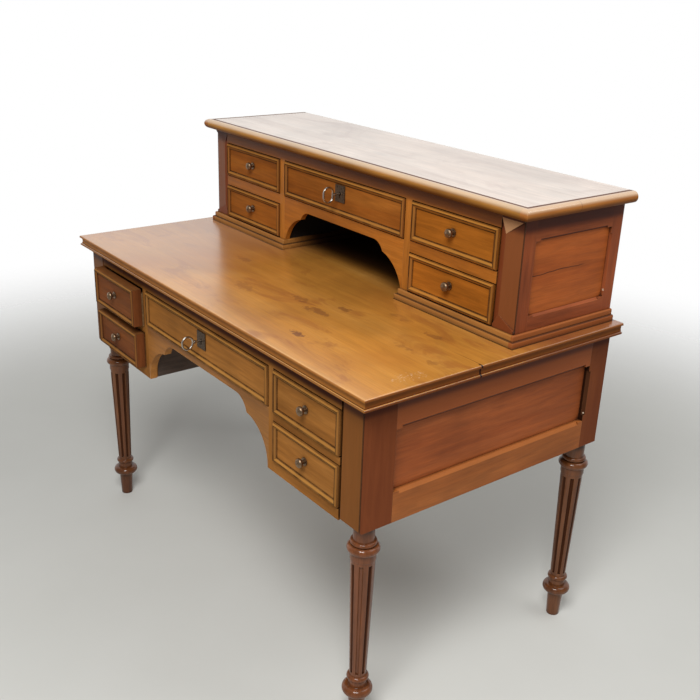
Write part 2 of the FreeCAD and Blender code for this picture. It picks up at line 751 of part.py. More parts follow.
def make_kneehole():
    outline = apron_outline(
        kneehole_half, centre_floor, centre_floor - apron_rail, body_bottom, bracket_foot,
        bracket_cusp_in, bracket_cusp_down, bracket_end_in, (bracket_low_bulge, bracket_high_bulge))
    node(prism("kneehole_apron", "XZ", outline, (front_y, front_y + apron_thickness)))
    walls = []
    for hand, side in SIDES.items():
        x = across(side, kneehole_half, wall_out)
        y = (frame_back, back_board_y + back_thickness)
        walls.append(board(f"kneehole_{hand}_wall", x, y, (body_bottom, slab_bottom)))
    node(group("kneehole_walls", walls))


def make_desk_back():
    y = (back_board_y, back_board_y + back_thickness)
    pieces = [board("desk_centre_back", (-kneehole_half, kneehole_half), y, (centre_floor, slab_bottom))]
    for hand, side in SIDES.items():
        x = across(side, wall_out, back_post_in)
        pieces.append(board(f"desk_{hand}_back", x, y, (body_bottom, slab_bottom)))
    node(group("desk_back_boards", pieces))


def make_runners():
    y = (frame_back, back_board_y)
    pieces = []
    for hand, side in SIDES.items():
        for row, floor in (("lower", low_floor), ("upper", mid_floor)):
            z = (floor - runner_height, floor)
            inner = across(side, wall_out, wall_out + runner_width)
            outer = across(side, post_in - runner_width, post_in)
            pieces.append(board(f"{hand}_{row}_inner_runner", inner, y, z))
            pieces.append(board(f"{hand}_{row}_outer_runner", outer, y, z))
        x = across(side, kneehole_half - runner_width, kneehole_half)
        z = (centre_floor - runner_height, centre_floor)
        pieces.append(board(f"{hand}_centre_runner", x, y, z))
    node(group("desk_drawer_runners", pieces))


# Gradin carcass


def cant_cutter(label, ridge_x, corner_x, depth):
    """A wedge that cuts from nothing at the ridge to its full depth at the corner, with sloped ends."""
    wedge = doc.addObject("Part::Wedge", label)
    high = gradin_roof - cant_end
    low = plinth_top + cant_end
    inner_high = gradin_roof - cant_stop_top
    inner_low = plinth_top + cant_stop_bottom
    proud = cant_end
    reach = corner_x - ridge_x if corner_x.value > ridge_x.value else ridge_x - corner_x
    settings = {
        "Xmin": ZERO, "Xmax": proud, "Zmin": inner_low, "Zmax": inner_high,
        "X2min": -depth, "X2max": proud, "Z2min": low, "Z2max": high,
        "Ymin": ZERO, "Ymax": reach,
    }
    for name, value in settings.items():
        setattr(wedge, name, value.value)
        wedge.setExpression(name, value.text)
    return wedge


def make_gradin_posts():
    """Front corner posts with two shallow stopped cants that meet in a ridge."""
    x = (gradin_post_in, gradin_half)
    blank = board("gradin_post_blank", x, (gradin_y, gradin_post_back), (desk_height, gradin_roof))
    ridge = gradin_half - cant_ridge
    turn_right = FreeCAD.Rotation(FreeCAD.Vector(0, 0, 1), -90)
    outer = cant_cutter("gradin_outer_cant", ridge, gradin_half, cant_depth)
    place(outer, ridge, gradin_y, ZERO, turn_right)
    inner = cant_cutter("gradin_inner_cant_right", gradin_post_in, ridge, cant_inner_depth)
    inner_flipped = mirrored("gradin_inner_cant", place(inner, -ridge, gradin_y, ZERO, turn_right))
    right = cut("gradin_right_post", blank, [outer, inner_flipped])
    return {"left": mirrored("gradin_left_post", right), "right": right}


def make_gradin_sides():
    rail_y = (gradin_post_back, gradin_rear_y)
    rear_y = (gradin_rear_y, gradin_back_y)
    upper = (gradin_roof - gradin_side_top, gradin_roof)
    lower = (desk_height, desk_height + gradin_side_bottom)
    panel_out = gradin_half - gradin_panel_sink
    posts = make_gradin_posts()
    for hand, side in SIDES.items():
        x = (gradin_side_in, gradin_half)
        stile = board(f"gradin_{hand}_stile_blank", across(side, *x), rear_y, (desk_height, gradin_roof))
        outline = chamfer_outline((gradin_half * side, gradin_rear_y), side, -1, gradin_chamfer)
        chamfer_z = (lower[1] + chamfer_stop, upper[0] - chamfer_stop)
        wedge = prism(f"gradin_{hand}_stile_wedge", "XY", outline, chamfer_z)
        pieces = [
            posts[hand],
            chamfered_rail(f"gradin_{hand}_upper_rail", side, x, rail_y, upper, False, gradin_chamfer),
            chamfered_rail(f"gradin_{hand}_lower_rail", side, x, rail_y, lower, True, gradin_chamfer),
            cut(f"gradin_{hand}_rear_stile", stile, [wedge]),
        ]
        node(group(f"gradin_{hand}_side_frame", pieces))
    panels = []
    for hand, side in SIDES.items():
        panel_x = across(side, panel_out - gradin_panel, panel_out)
        panels.append(board(f"gradin_{hand}_panel", panel_x, rail_y, (lower[1], upper[0])))
    node(group("gradin_side_panels", panels))


def make_gradin_front():
    y = (gradin_y, gradin_frame_back)
    whole_rail = board(
        "gradin_top_rail_blank", (-gradin_post_in, gradin_post_in), y, (gradin_drawers_top, gradin_roof))
    mortise = bolt_mortise("gradin_mortise", gradin_y, gradin_front_thickness, gradin_drawers_top)
    pieces = [cut("gradin_top_rail_piece", whole_rail, [mortise])]
    for hand, side in SIDES.items():
        stile_x = across(side, pigeonhole_half, gradin_stile_out)
        bay_x = across(side, gradin_stile_out, gradin_post_in)
        pieces.append(board(f"gradin_{hand}_stile", stile_x, y, (desk_height, gradin_drawers_top)))
        pieces.append(board(f"gradin_{hand}_mid_rail", bay_x, y, (gradin_mid_under, gradin_mid_floor)))
        pieces.append(board(f"gradin_{hand}_bottom_rail", bay_x, y, (desk_height, plinth_top)))
    node(group("gradin_front_frame", pieces))
    outline = apron_outline(
        pigeonhole_half, gradin_centre_floor, gradin_centre_floor - arch_rail, plinth_top, arch_foot,
        arch_cusp_in, arch_cusp_down, arch_end_in, (arch_low_bulge, arch_high_bulge))
    node(prism("pigeonhole_apron", "XZ", outline, (gradin_y, gradin_y + arch_thickness)))


def make_gradin_inside():
    y = (gradin_frame_back, gradin_board_y)
    back_y_span = (gradin_board_y, gradin_board_y + gradin_back)
    back_x = (-gradin_side_in, gradin_side_in)
    node(board("gradin_back_board", back_x, back_y_span, (desk_height, gradin_roof)))
    centre_z = (gradin_centre_floor - dust_board, gradin_centre_floor)
    pieces = [board("gradin_centre_shelf", (-pigeonhole_half, pigeonhole_half), y, centre_z)]
    for hand, side in SIDES.items():
        wall_x = across(side, pigeonhole_half, gradin_wall_out)
        shelf_x = across(side, gradin_wall_out, gradin_post_in)
        pieces.append(board(f"gradin_{hand}_wall", wall_x, y, (desk_height, gradin_roof)))
        for row, floor in (("lower", plinth_top), ("upper", gradin_mid_floor)):
            pieces.append(board(f"gradin_{hand}_{row}_shelf", shelf_x, y, (floor - dust_board, floor)))
    node(group("gradin_inner_boards", pieces))


def mitred(label, plane, outline, span, plan, heights):
    """A length of moulding cut to a plan whose ends are mitres."""
    run = prism(f"{label}_run", plane, outline, span)
    shape = prism(f"{label}_plan", "XY", plan, heights)
    return common(label, run, shape)


def make_gradin_top():
    half = gradin_half + top_board_past
    front = gradin_y - top_board_front
    back = slab_back
    top = gradin_roof + gradin_top
    out = half + moulding_width
    fore = front - moulding_width
    outline = [
        (half, gradin_roof), (half, top - top_quirk), (half - top_quirk, top),
        (top_quirk - half, top), (-half, top - top_quirk), (-half, gradin_roof),
    ]
    side_outline = [
        (front, gradin_roof), (back, gradin_roof), (back, top),
        (front + top_quirk, top), (front, top - top_quirk),
    ]
    lengthwise = prism("gradin_top_section", "XZ", outline, (front, back))
    crosswise = prism("gradin_top_side_section", "YZ", side_outline, (-half, half))
    node(common("gradin_top_board", lengthwise, crosswise))

    nose = gradin_top / 2
    profile = [(nose, ZERO), (ZERO, nose, nose), (nose, gradin_top, nose)]
    heights = (gradin_roof, top)
    front_outline = [(front, gradin_roof), (front, top)] + left_edge(profile, fore, gradin_roof)
    front_plan = [(-out, fore), (out, fore), (half, front), (-half, front)]
    side_profile = [(half, gradin_roof)] + right_edge(profile, out, gradin_roof) + [(half, top)]
    side_plan = [(out, fore), (out, back), (half, back), (half, front)]
    right = mitred("gradin_right_nose", "XZ", side_profile, (fore, back), side_plan, heights)
    pieces = [
        mitred("gradin_front_nose", "YZ", front_outline, (-out, out), front_plan, heights),
        right,
        mirrored("gradin_left_nose", right),
    ]
    node(group("gradin_top_moulding", pieces))


def make_plinth():
    lower = plinth_height / 2
    step = plinth_out - plinth_step
    profile = [
        (ZERO, ZERO),
        (ZERO, lower - plinth_round),
        (plinth_round, lower, plinth_round),
        (step, lower),
        (step, plinth_height - plinth_round),
        (step + plinth_round, plinth_height, plinth_round),
    ]
    heights = (desk_height, plinth_top)
    front = gradin_y - plinth_out
    outer = gradin_half + plinth_out
    inner = pigeonhole_half - plinth_out
    back = gradin_back_y
    inner_back = gradin_board_y
    side_run = [(gradin_half, desk_height)] + right_edge(profile, outer, desk_height)
    side_run.append((gradin_half, plinth_top))
    front_run = [(gradin_y, desk_height), (gradin_y, plinth_top)] + left_edge(profile, front, desk_height)
    inner_run = [(pigeonhole_half, desk_height), (pigeonhole_half, plinth_top)]
    inner_run += left_edge(profile, inner, desk_height)
    side_plan = [(outer, front), (outer, back), (gradin_half, back), (gradin_half, gradin_y)]
    front_plan = [(inner, front), (outer, front), (gradin_half, gradin_y), (pigeonhole_half, gradin_y)]
    inner_plan = [
        (inner, front),
        (pigeonhole_half, gradin_y),
        (pigeonhole_half, inner_back),
        (inner, inner_back),
    ]
    right = [
        mitred("plinth_right_side", "XZ", side_run, (front, back), side_plan, heights),
        mitred("plinth_right_front", "YZ", front_run, (inner, outer), front_plan, heights),
        mitred("plinth_right_return", "XZ", inner_run, (front, inner_back), inner_plan, heights),
    ]
    left = [mirrored(piece.Label.replace("right", "left"), piece) for piece in right]
    node(group("gradin_plinth", right + left))


# Drawers


def moulded_front(label, x, z, face, thickness):
    """A drawer front whose rim slopes up to a ridge and down to a flat field level with the frame."""
    body = new_body(label)
    rim = face - rim_proud
    pad = padded(body, "XZ", rectangle(x, z), (rim, face + thickness), "blank")
    doc.recompute()
    front_edges = []
    for index, edge in enumerate(pad.Shape.Edges):
        if all(abs(vertex.Y - rim.value) < slide_gap.value for vertex in edge.Vertexes):
            front_edges.append(f"Edge{index + 1}")
    bevel = body.newObject("PartDesign::Chamfer", f"{label}_bevel")
    bevel.Base = (pad, front_edges)
    bevel.setExpression("Size", rim_bevel.text)
    ridge = rim_bevel + rim_ridge
    field = ridge + rim_slope + rim_quirk
    slope = pocketed(body, "XZ", inset_rectangle(x, z, ridge), -rim, rim_slope_depth, "slope")
    slope.setExpression("TaperAngle", f"-1 * atan({rim_slope.text} / {rim_slope_depth.text})")
    pocketed(body, "XZ", inset_rectangle(x, z, field), -rim, rim_proud, "field")
    return body


def make_box(label, x, floor, top, front, depth):
    """Drawer sides, back and bottom behind a front, as separate boards."""
    outer = (x[0] + box_set, x[1] - box_set)
    inner = (outer[0] + box_side, outer[1] - box_side)
    y = (front, front + depth)
    low = floor + slide_gap
    bottom = (low + box_bottom_up, low + box_bottom_up + box_bottom)
    z = (low, top - box_drop)
    pieces = [
        board(f"{label}_left_side", (outer[0], inner[0]), y, z),
        board(f"{label}_right_side", (inner[1], outer[1]), y, z),
        board(f"{label}_bottom", inner, y, bottom),
        board(f"{label}_back", inner, (y[1] - box_side, y[1]), (bottom[1], z[1])),
    ]
    return node(group(label, pieces))


def make_knob(label, x, face, z):
    head = knob_plate + knob_neck
    tip = head + knob_bead * 2
    crown = knob_head_radius - knob_bead
    outline = [
        (ZERO, ZERO),
        (knob_plate_radius, ZERO),
        (knob_plate_radius, knob_plate),
        (knob_neck_radius, knob_plate),
        (knob_neck_radius, head),
        (crown, head),
        (knob_head_radius, head + knob_bead, knob_bead),
        (crown, tip, knob_bead),
        (ZERO, tip + knob_crown),
    ]
    body = new_body(label)
    turned(body, outline, "turning")
    return node(place(body, x, face, z, TO_FRONT))


def make_drawer(name, x, opening, face, thickness, depth):
    """A drawer with a knob."""
    z = (opening[0] + front_gap, opening[1] - front_gap)
    span = (x[0] + front_gap, x[1] - front_gap)
    node(moulded_front(f"{name}_front", span, z, face, thickness))
    make_box(f"{name}_box", span, opening[0], z[1], face + thickness, depth)
    make_knob(f"{name}_knob", (span[0] + span[1]) / 2, face, (z[0] + z[1]) / 2 + knob_raise)


def bolt_span(face, thickness):
    """Where the bolt lies from front to back, in the middle of the lock case."""
    middle = face + thickness - lock_depth / 2
    return (middle - bolt_thickness / 2, middle + bolt_thickness / 2)


def bolt_mortise(label, face, thickness, floor):
    """The hole in the rail over a locked drawer that takes the thrown bolt."""
    y = bolt_span(face, thickness)
    half = bolt_width / 2 + bolt_gap
    depth = bolt_throw - front_gap - bolt_below + bolt_end_gap
    return board(label, (-half, half), (y[0] - bolt_gap, y[1] + bolt_gap), (floor, floor + depth))


def oval(y, z, radius, height):
    """An upright outline with round ends, drawn as y and z."""
    reach = height / 2
    run = reach - radius
    return [
        (y, z - reach, radius),
        (y + radius, z - run, radius),
        (y + radius, z + run),
        (y, z + reach, radius),
        (y - radius, z + run, radius),
        (y - radius, z - run),
    ]


def make_bow(label, y, z, height):
    """The ring that a key is turned by."""
    body = new_body(label)
    padded(body, "YZ", oval(y, z, bow_radius, height), (-bow_wire, bow_wire), "ring")
    wire = bow_wire * 2
    eye = pocketed(body, "YZ", oval(y, z, bow_radius - wire, height - wire * 2), bow_wire, wire, "eye")
    doc.recompute()
    rims = []
    for index, edge in enumerate(eye.Shape.Edges):
        if edge.BoundBox.XLength < bow_round.value / 2:
            rims.append(f"Edge{index + 1}")
    softened = body.newObject("PartDesign::Fillet", f"{label}_softened")
    softened.Base = (eye, rims)
    softened.setExpression("Radius", bow_round.text)
    return body


def make_locked_drawer(name, half, opening, face, thickness, depth, bow_height):
    """A drawer with a lock plate, a lock let into the back of its front, and a key in the lock."""
    z = (opening[0] + front_gap, opening[1] - front_gap)
    span = (front_gap - half, half - front_gap)
    axis = (z[0] + z[1]) / 2 + lock_raise
    back = face + thickness
    bore = shank_radius + key_bore_gap
    case_x = (-(lock_width / 2), lock_width / 2)
    case_z = (axis - lock_below, axis + lock_above)
    case_y = (back - lock_depth, back)
    bolt_y = bolt_span(face, thickness)
    bolt_x = (-(bolt_width / 2), bolt_width / 2)
    chamber = bit_reach + chamber_gap
    bolt_foot = axis + chamber + bolt_gap
    slot_x = (bolt_x[0] - bolt_gap, bolt_x[1] + bolt_gap)
    slot_y = (bolt_y[0] - bolt_gap, bolt_y[1] + bolt_gap)

    blank = moulded_front(f"{name}_front_blank", span, z, face, thickness)
    hollows = [
        board(f"{name}_lock_recess", case_x, case_y, case_z),
        board(f"{name}_bolt_slot", slot_x, slot_y, (case_z[0], z[1])),
        rod(f"{name}_front_bore", ZERO, (face - rim_proud, back), axis, bore),
    ]
    node(cut(f"{name}_front", blank, hollows))
    make_box(f"{name}_box", span, opening[0], z[1], back, depth)

    plate_y = (face - plate_thickness, face)
    plate_z = (axis - plate_height / 2, axis + plate_height / 2)
    plate = board(f"{name}_plate_blank", (-(plate_width / 2), plate_width / 2), plate_y, plate_z)
    slot = (-(keyhole_slot_width / 2), keyhole_slot_width / 2)
    keyhole = [
        rod(f"{name}_plate_bore", ZERO, plate_y, axis, bore),
        board(f"{name}_plate_slot", slot, plate_y, (axis - keyhole_slot, axis)),
    ]
    node(cut(f"{name}_lock_plate", plate, keyhole))

    case = board(f"{name}_case_blank", case_x, case_y, case_z)
    case_hollows = [
        rod(f"{name}_chamber", ZERO, (case_y[0] + lock_floor, back), axis, chamber),
        rod(f"{name}_case_bore", ZERO, case_y, axis, bore),
        board(f"{name}_case_slot", slot_x, slot_y, (bolt_foot, case_z[1])),
    ]
    node(cut(f"{name}_lock_case", case, case_hollows))
    node(board(f"{name}_lock_bolt", bolt_x, bolt_y, (bolt_foot, z[1] - bolt_below)))

    shank_end = back - bolt_gap
    bow_y = face - bow_reach
    bow = make_bow(f"{name}_bow", bow_y, axis, bow_height)
    collar_y = bow_y + bow_radius
    bit_x = (-(bit_width / 2), bit_width / 2)
    pieces = [
        rod(f"{name}_shank", ZERO, (collar_y - bow_wire, shank_end), axis, shank_radius),
        rod(f"{name}_collar", ZERO, (collar_y, collar_y + key_collar_length), axis, key_collar),
        board(f"{name}_bit", bit_x, (shank_end - bit_length, shank_end), (axis - bit_reach, axis)),
        bow,
    ]
    node(fuse(f"{name}_key", pieces))


def make_desk_drawers():
    rows = {"upper": (mid_floor, drawers_top), "lower": (low_floor, mid_under)}
    ajar = {("left", "upper"): upper_ajar, ("left", "lower"): lower_ajar}
    for hand, side in SIDES.items():
        x = across(side, stile_out, post_in)
        for row, opening in rows.items():
            face = front_y - ajar.get((hand, row), ZERO)
            make_drawer(f"desk_{hand}_{row}_drawer", x, opening, face, front_thickness, box_depth)
    centre = (centre_floor, drawers_top)
    make_locked_drawer(
        "desk_centre_drawer", kneehole_half, centre, front_y, front_thickness, box_depth, desk_bow)


def make_gradin_drawers():
    rows = {"upper": (gradin_mid_floor, gradin_drawers_top), "lower": (plinth_top, gradin_mid_under)}
    for hand, side in SIDES.items():
        x = across(side, gradin_stile_out, gradin_post_in)
        for row, opening in rows.items():
            name = f"gradin_{hand}_{row}_drawer"
            make_drawer(name, x, opening, gradin_y, gradin_front_thickness, gradin_box_depth)
    centre = (gradin_centre_floor, gradin_drawers_top)
    make_locked_drawer(
        "gradin_centre_drawer", pigeonhole_half, centre, gradin_y, gradin_front_thickness, gradin_box_depth,
        gradin_bow)


def check_and_write():
    doc.recompute()
    for thing in doc.Objects:
        if "Invalid" in thing.State or "Error" in thing.State:
            raise RuntimeError(f"{thing.Label} failed to build: {thing.State}")
    os.makedirs("parts", exist_ok=True)
    for thing in nodes:
        shape = thing.Shape
        if shape.isNull() or not shape.isValid() or not shape.Solids:
            raise RuntimeError(f"{thing.Label} has no valid solid")
        shape.exportStep(f"parts/{thing.Label}.step")


make_desk_top()
make_legs()
make_desk_sides()
make_desk_front()
make_kneehole()
make_desk_back()
make_runners()
make_gradin_sides()
make_gradin_front()
make_gradin_inside()
make_gradin_top()
make_plinth()
make_desk_drawers()
make_gradin_drawers()
check_and_write()
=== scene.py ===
"""The look of a writing desk with a raised gradin: its woods and metals, the light and the camera."""

import math

import bpy
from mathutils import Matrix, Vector


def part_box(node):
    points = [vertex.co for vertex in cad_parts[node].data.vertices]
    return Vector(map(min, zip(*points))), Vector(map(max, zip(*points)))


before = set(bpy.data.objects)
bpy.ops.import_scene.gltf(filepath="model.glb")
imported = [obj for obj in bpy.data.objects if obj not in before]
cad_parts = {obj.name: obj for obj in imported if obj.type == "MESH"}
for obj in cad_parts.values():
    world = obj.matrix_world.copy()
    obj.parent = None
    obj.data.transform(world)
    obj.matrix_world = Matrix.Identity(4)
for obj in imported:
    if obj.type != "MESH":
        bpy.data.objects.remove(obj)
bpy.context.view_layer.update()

# Places in the desk that the materials refer to, in metres
SLAB_HALF = 0.608
SLAB_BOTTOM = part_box("desk_top")[0][2]
SIDE_RAIL_HEIGHT = 0.069
SIDE_RAIL_EDGE = SLAB_BOTTOM - SIDE_RAIL_HEIGHT
BODY_HALF = 0.580
BODY_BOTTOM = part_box("desk_front_frame")[0][2]
FRONT_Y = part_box("desk_front_frame")[0][1]
BACK_CHAMFER = 0.008
BACK_POST_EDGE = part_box("desk_right_side_rails")[1][1] + BACK_CHAMFER
KNEEHOLE_HALF = 0.273
STILE_OUT = 0.290
DRAWERS_TOP = 0.705

# Places in the gradin
BOARD_LOW, BOARD_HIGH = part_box("gradin_top_board")
PLINTH_LOW, PLINTH_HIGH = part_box("gradin_plinth")
PLINTH_STEP = 0.777
GRADIN_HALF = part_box("gradin_right_side_frame")[1][0]
GRADIN_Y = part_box("gradin_front_frame")[0][1]
GRADIN_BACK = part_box("gradin_back_board")[0][1]
GRADIN_ROOF = BOARD_LOW[2]
GRADIN_POST_DEPTH = 0.038
GRADIN_POST_BACK = GRADIN_Y + GRADIN_POST_DEPTH
REAR_STILE_DEPTH = 0.032
GRADIN_REAR_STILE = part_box("gradin_right_side_frame")[1][1] - REAR_STILE_DEPTH
GRADIN_STILE_OUT = 0.253
GRADIN_DRAWERS_TOP = 0.992
CANT_STOP = 0.042
NOSING_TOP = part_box("gradin_top_moulding")[1][2]
PIGEONHOLE_HALF = 0.233

# Turned legs: the axis of each, and the height and radius of both ends of the fluted shaft
LEG_AXES = {
    "left_front": (-0.5475, -0.2745), "right_front": (0.5475, -0.2745),
    "left_back": (-0.553, 0.3305), "right_back": (0.553, 0.3305),
}
SHAFT_LOW, SHAFT_HIGH = 0.113, 0.393
SHAFT_LOW_RADIUS, SHAFT_HIGH_RADIUS = 0.0175, 0.0250
SHAFT_TAPER = (SHAFT_HIGH_RADIUS - SHAFT_LOW_RADIUS) / (SHAFT_HIGH - SHAFT_LOW)

# How marks are drawn: the full share of one, and the values between which a mask goes from 0 to 1
LINE_CORE = 0.4
LEDGE_CORE = 0.6
CHIP_CORE = 0.6
FACING_SPAN = (0.6, 0.9)
WANDER_SPAN = (0.2, 0.8)
SEED_SHIFTS = (0.731, 1.377, 0.519)
BEVEL_SAMPLES = 4
OPENNESS_SAMPLES = 6


def srgb(red, green, blue):
    """A colour given as 0 to 255 for the screen, as the linear values that shaders take."""
    linear = []
    for part in (red, green, blue):
        share = part / 255
        linear.append(share / 12.92 if share <= 0.04045 else ((share + 0.055) / 1.055) ** 2.4)
    return (*linear, 1.0)


class Noise:
    """The scale, detail, roughness and distortion of one noise."""

    def __init__(self, scale, detail=2.0, roughness=0.5, distortion=0.0):
        self.scale = scale
        self.detail = detail
        self.roughness = roughness
        self.distortion = distortion


class Patches:
    """Patches of a colour: their noise, where it starts and is full, and how strong they are."""

    def __init__(self, noise, span, share, colour):
        self.noise = noise
        self.span = span
        self.share = share
        self.colour = colour


class Nodes:
    """Adds nodes to a tree with short calls. What goes into a node is a socket or a value."""

    def __init__(self, tree):
        self.tree = tree

    def feed(self, socket, item):
        if isinstance(item, bpy.types.NodeSocket):
            self.tree.links.new(item, socket)
        elif item is not None:
            socket.default_value = item

    def node(self, kind, inputs=None, **settings):
        """Adds a node. Its inputs are given by name or by number."""
        made = self.tree.nodes.new(kind)
        for name, value in settings.items():
            setattr(made, name, value)
        for key, item in (inputs or {}).items():
            self.feed(made.inputs[key], item)
        return made

    def math(self, operation, first, second=None):
        return self.node("ShaderNodeMath", {0: first, 1: second}, operation=operation).outputs[0]

    def measure(self, operation, first, second=None):
        """A number worked out from one or two vectors."""
        made = self.node("ShaderNodeVectorMath", {0: first, 1: second}, operation=operation)
        return made.outputs["Value"]

    def plus(self, first, second):
        return self.math("ADD", first, second)

    def minus(self, first, second):
        return self.math("SUBTRACT", first, second)

    def least(self, first, second):
        return self.math("MINIMUM", first, second)

    def without(self, mask):
        return self.minus(1.0, mask)

    def all_of(self, *masks):
        """The product of masks and strengths."""
        result = masks[0]
        for mask in masks[1:]:
            result = self.math("MULTIPLY", result, mask)
        return result

    def any_of(self, *masks):
        """The largest of some masks."""
        result = masks[0]
        for mask in masks[1:]:
            result = self.math("MAXIMUM", result, mask)
        return result

    def fade(self, value, low, high, start=0.0, end=1.0):
        """Goes smoothly from start to end while the value goes from low to high."""
        inputs = {"Value": value, "From Min": low, "From Max": high, "To Min": start, "To Max": end}
        return self.node("ShaderNodeMapRange", inputs, interpolation_type="SMOOTHSTEP").outputs[0]

    def fall(self, value, low, high):
        """Goes smoothly from one to zero while the value goes from low to high."""
        return self.fade(value, low, high, 1.0, 0.0)


class Shader(Nodes):
    """One material: its surface, and the masks and colours that it is made from."""

    def __init__(self, name):
        self.material = bpy.data.materials.new(name)
        self.material.use_nodes = True
        super().__init__(self.material.node_tree)
        self.tree.nodes.clear()
        self.surface = self.node("ShaderNodeBsdfPrincipled")
        self.output = self.node("ShaderNodeOutputMaterial", {"Surface": self.surface.outputs["BSDF"]})

    def set(self, name, item):
        """Feeds one input of the surface."""
        self.feed(self.surface.inputs[name], item)

    def below(self, value, limit):
        return self.math("LESS_THAN", value, limit)

    def above(self, value, limit):
        return self.math("GREATER_THAN", value, limit)

    def between(self, value, low, high):
        return self.all_of(self.above(value, low), self.below(value, high))

    def size_of(self, value):
        """A value without its sign."""
        return self.math("ABSOLUTE", value)

    def squares(self, first, second):
        """The sum of two squares."""
        return self.plus(self.all_of(first, first), self.all_of(second, second))

    def line(self, value, place, half_width):
        """A soft thin line where a coordinate passes a place."""
        distance = self.size_of(self.minus(value, place))
        return self.fall(distance, half_width * LINE_CORE, half_width)

    def mix(self, factor, first, second, blend="MIX"):
        """Mixes two colours: inputs 6 and 7 and output 2 of the node are the ones for colours."""
        inputs = {0: factor, 6: first, 7: second}
        return self.node("ShaderNodeMix", inputs, data_type="RGBA", blend_type=blend).outputs[2]

    def paint(self, colour, over, *masks):
        """Lays one colour over another, as far as all the masks and strengths let it."""
        return self.mix(self.all_of(*masks), colour, over)

    def clouded(self, colour, vector, patches):
        """Lays patches over a colour."""
        mask = self.fade(self.noise(vector, patches.noise), *patches.span)
        return self.paint(colour, patches.colour, mask, patches.share)

    def choose(self, factor, first, second):
        """Picks between two vectors: inputs 4 and 5 and output 1 are the ones for vectors."""
        inputs = {0: factor, 4: first, 5: second}
        return self.node("ShaderNodeMix", inputs, data_type="VECTOR").outputs[1]

    def ramp(self, value, stops):
        made = self.node("ShaderNodeValToRGB", {"Fac": value})
        elements = made.color_ramp.elements
        while len(elements) < len(stops):
            elements.new(0.5)
        for element, (place, colour) in zip(elements, stops):
            element.position = place
            element.color = colour
        return made.outputs["Color"]

    def noise(self, vector, kind):
        inputs = {
            "Vector": vector, "Scale": kind.scale, "Detail": kind.detail, "Roughness": kind.roughness,
            "Distortion": kind.distortion,
        }
        return self.node("ShaderNodeTexNoise", inputs).outputs["Fac"]

    def wander(self, value, place, kind, swing):
        """A coordinate that strays to either side."""
        return self.plus(value, self.fade(self.noise(place, kind), *WANDER_SPAN, -swing, swing))

    def position(self):
        return self.node("ShaderNodeTexCoord").outputs["Object"]

    def split(self, vector):
        return tuple(self.node("ShaderNodeSeparateXYZ", {"Vector": vector}).outputs)

    def sideways(self, place):
        """How far a point lies from the middle of the desk, to either side."""
        return self.size_of(self.split(place)[0])

    def normal(self, kind="Normal"):
        return self.node("ShaderNodeNewGeometry").outputs[kind]

    def upward(self):
        """How far a surface looks up, from minus one to one."""
        return self.split(self.normal())[2]

    def facing(self, axis):
        """One where a surface faces along an axis, either way."""
        return self.fade(self.size_of(self.split(self.normal())["XYZ".index(axis)]), *FACING_SPAN)

    def stretched(self, vector, grain, along, seed):
        """Coordinates drawn out along the grain, moved so that no two boards match."""
        scale = [along if axis == grain else 1.0 for axis in "XYZ"]
        moved = [seed * shift for shift in SEED_SHIFTS]
        inputs = {"Vector": vector, "Scale": scale, "Location": moved}
        return self.node("ShaderNodeMapping", inputs).outputs[0]

    def bevelled(self, radius):
        """The normal as it would be with rounded edges."""
        return self.node("ShaderNodeBevel", {"Radius": radius}, samples=BEVEL_SAMPLES).outputs[0]

    def openness(self, reach):
        """One in the open, and less in a corner."""
        made = self.node("ShaderNodeAmbientOcclusion", {"Distance": reach}, samples=OPENNESS_SAMPLES)
        return made.outputs["AO"]

    def relief(self, height, strength, distance, normal):
        """Fine bumps on the surface."""
        inputs = {"Strength": strength, "Distance": distance, "Height": height, "Normal": normal}
        self.set("Normal", self.node("ShaderNodeBump", inputs).outputs[0])


class Tone:
    """The dark, middle and light colour of one stain of wood."""

    def __init__(self, dark, middle, light):
        self.dark = srgb(*dark)
        self.middle = srgb(*middle)
        self.light = srgb(*light)


GOLDEN = Tone((114, 68, 27), (156, 102, 47), (180, 124, 63))
HONEY = Tone((124, 68, 18), (170, 102, 33), (192, 126, 49))
# A darker tone for the desk's left drawers, painted shade
SHADED_BROWN = Tone((90, 46, 22), (126, 72, 38), (150, 95, 53))
RUDDY = Tone((116, 52, 22), (154, 80, 38), (174, 98, 52))
MAROON = Tone((102, 46, 20), (141, 70, 35), (162, 88, 47))
# A darker tone for the gradin's drawers apart from the right ones, painted shade
SHADED_AMBER = Tone((106, 56, 19), (146, 84, 30), (168, 106, 43))
ORANGE = Tone((132, 56, 20), (172, 88, 36), (194, 108, 48))
RAIL = Tone((116, 56, 22), (154, 86, 38), (176, 106, 52))
TOP = Tone((162, 102, 41), (192, 130, 53), (210, 154, 78))
# A pale tone for the gradin's top, partly bleached wood and partly a painted glare
BLEACHED_AND_GLARE = Tone((176, 150, 132), (210, 188, 170), (228, 212, 196))
NOSING = Tone((82, 43, 18), (172, 118, 52), (196, 146, 76))
LEG = Tone((76, 38, 20), (122, 70, 38), (154, 98, 58))
# A darker copy of the leg tone, painted shade on the legs other than the right front one
SHADED_LEG = Tone((58, 30, 16), (100, 57, 29), (132, 84, 48))
RAW = Tone((120, 86, 50), (156, 118, 74), (180, 144, 98))
# A near-black tone for the gradin's inner boards, painted shade
SHADED = Tone((16, 11, 8), (26, 18, 13), (36, 26, 19))
# A dark tone for the kneehole walls, painted shade
KNEEHOLE_SHADE = Tone((60, 48, 41), (82, 67, 58), (98, 82, 71))

# Dirt, old polish and painted shade
GRIME_AND_SHADE = srgb(34, 16, 10)
# Painted shade under ledges and on chamfers that look down
PAINTED_SHADE_BROWN = srgb(62, 27, 20)
QUIRK = srgb(78, 32, 22)
FLUTE_SHADE = srgb(52, 26, 15)
STAIN = srgb(96, 50, 36)
RIM_SIDE_SHADE = srgb(100, 70, 48)

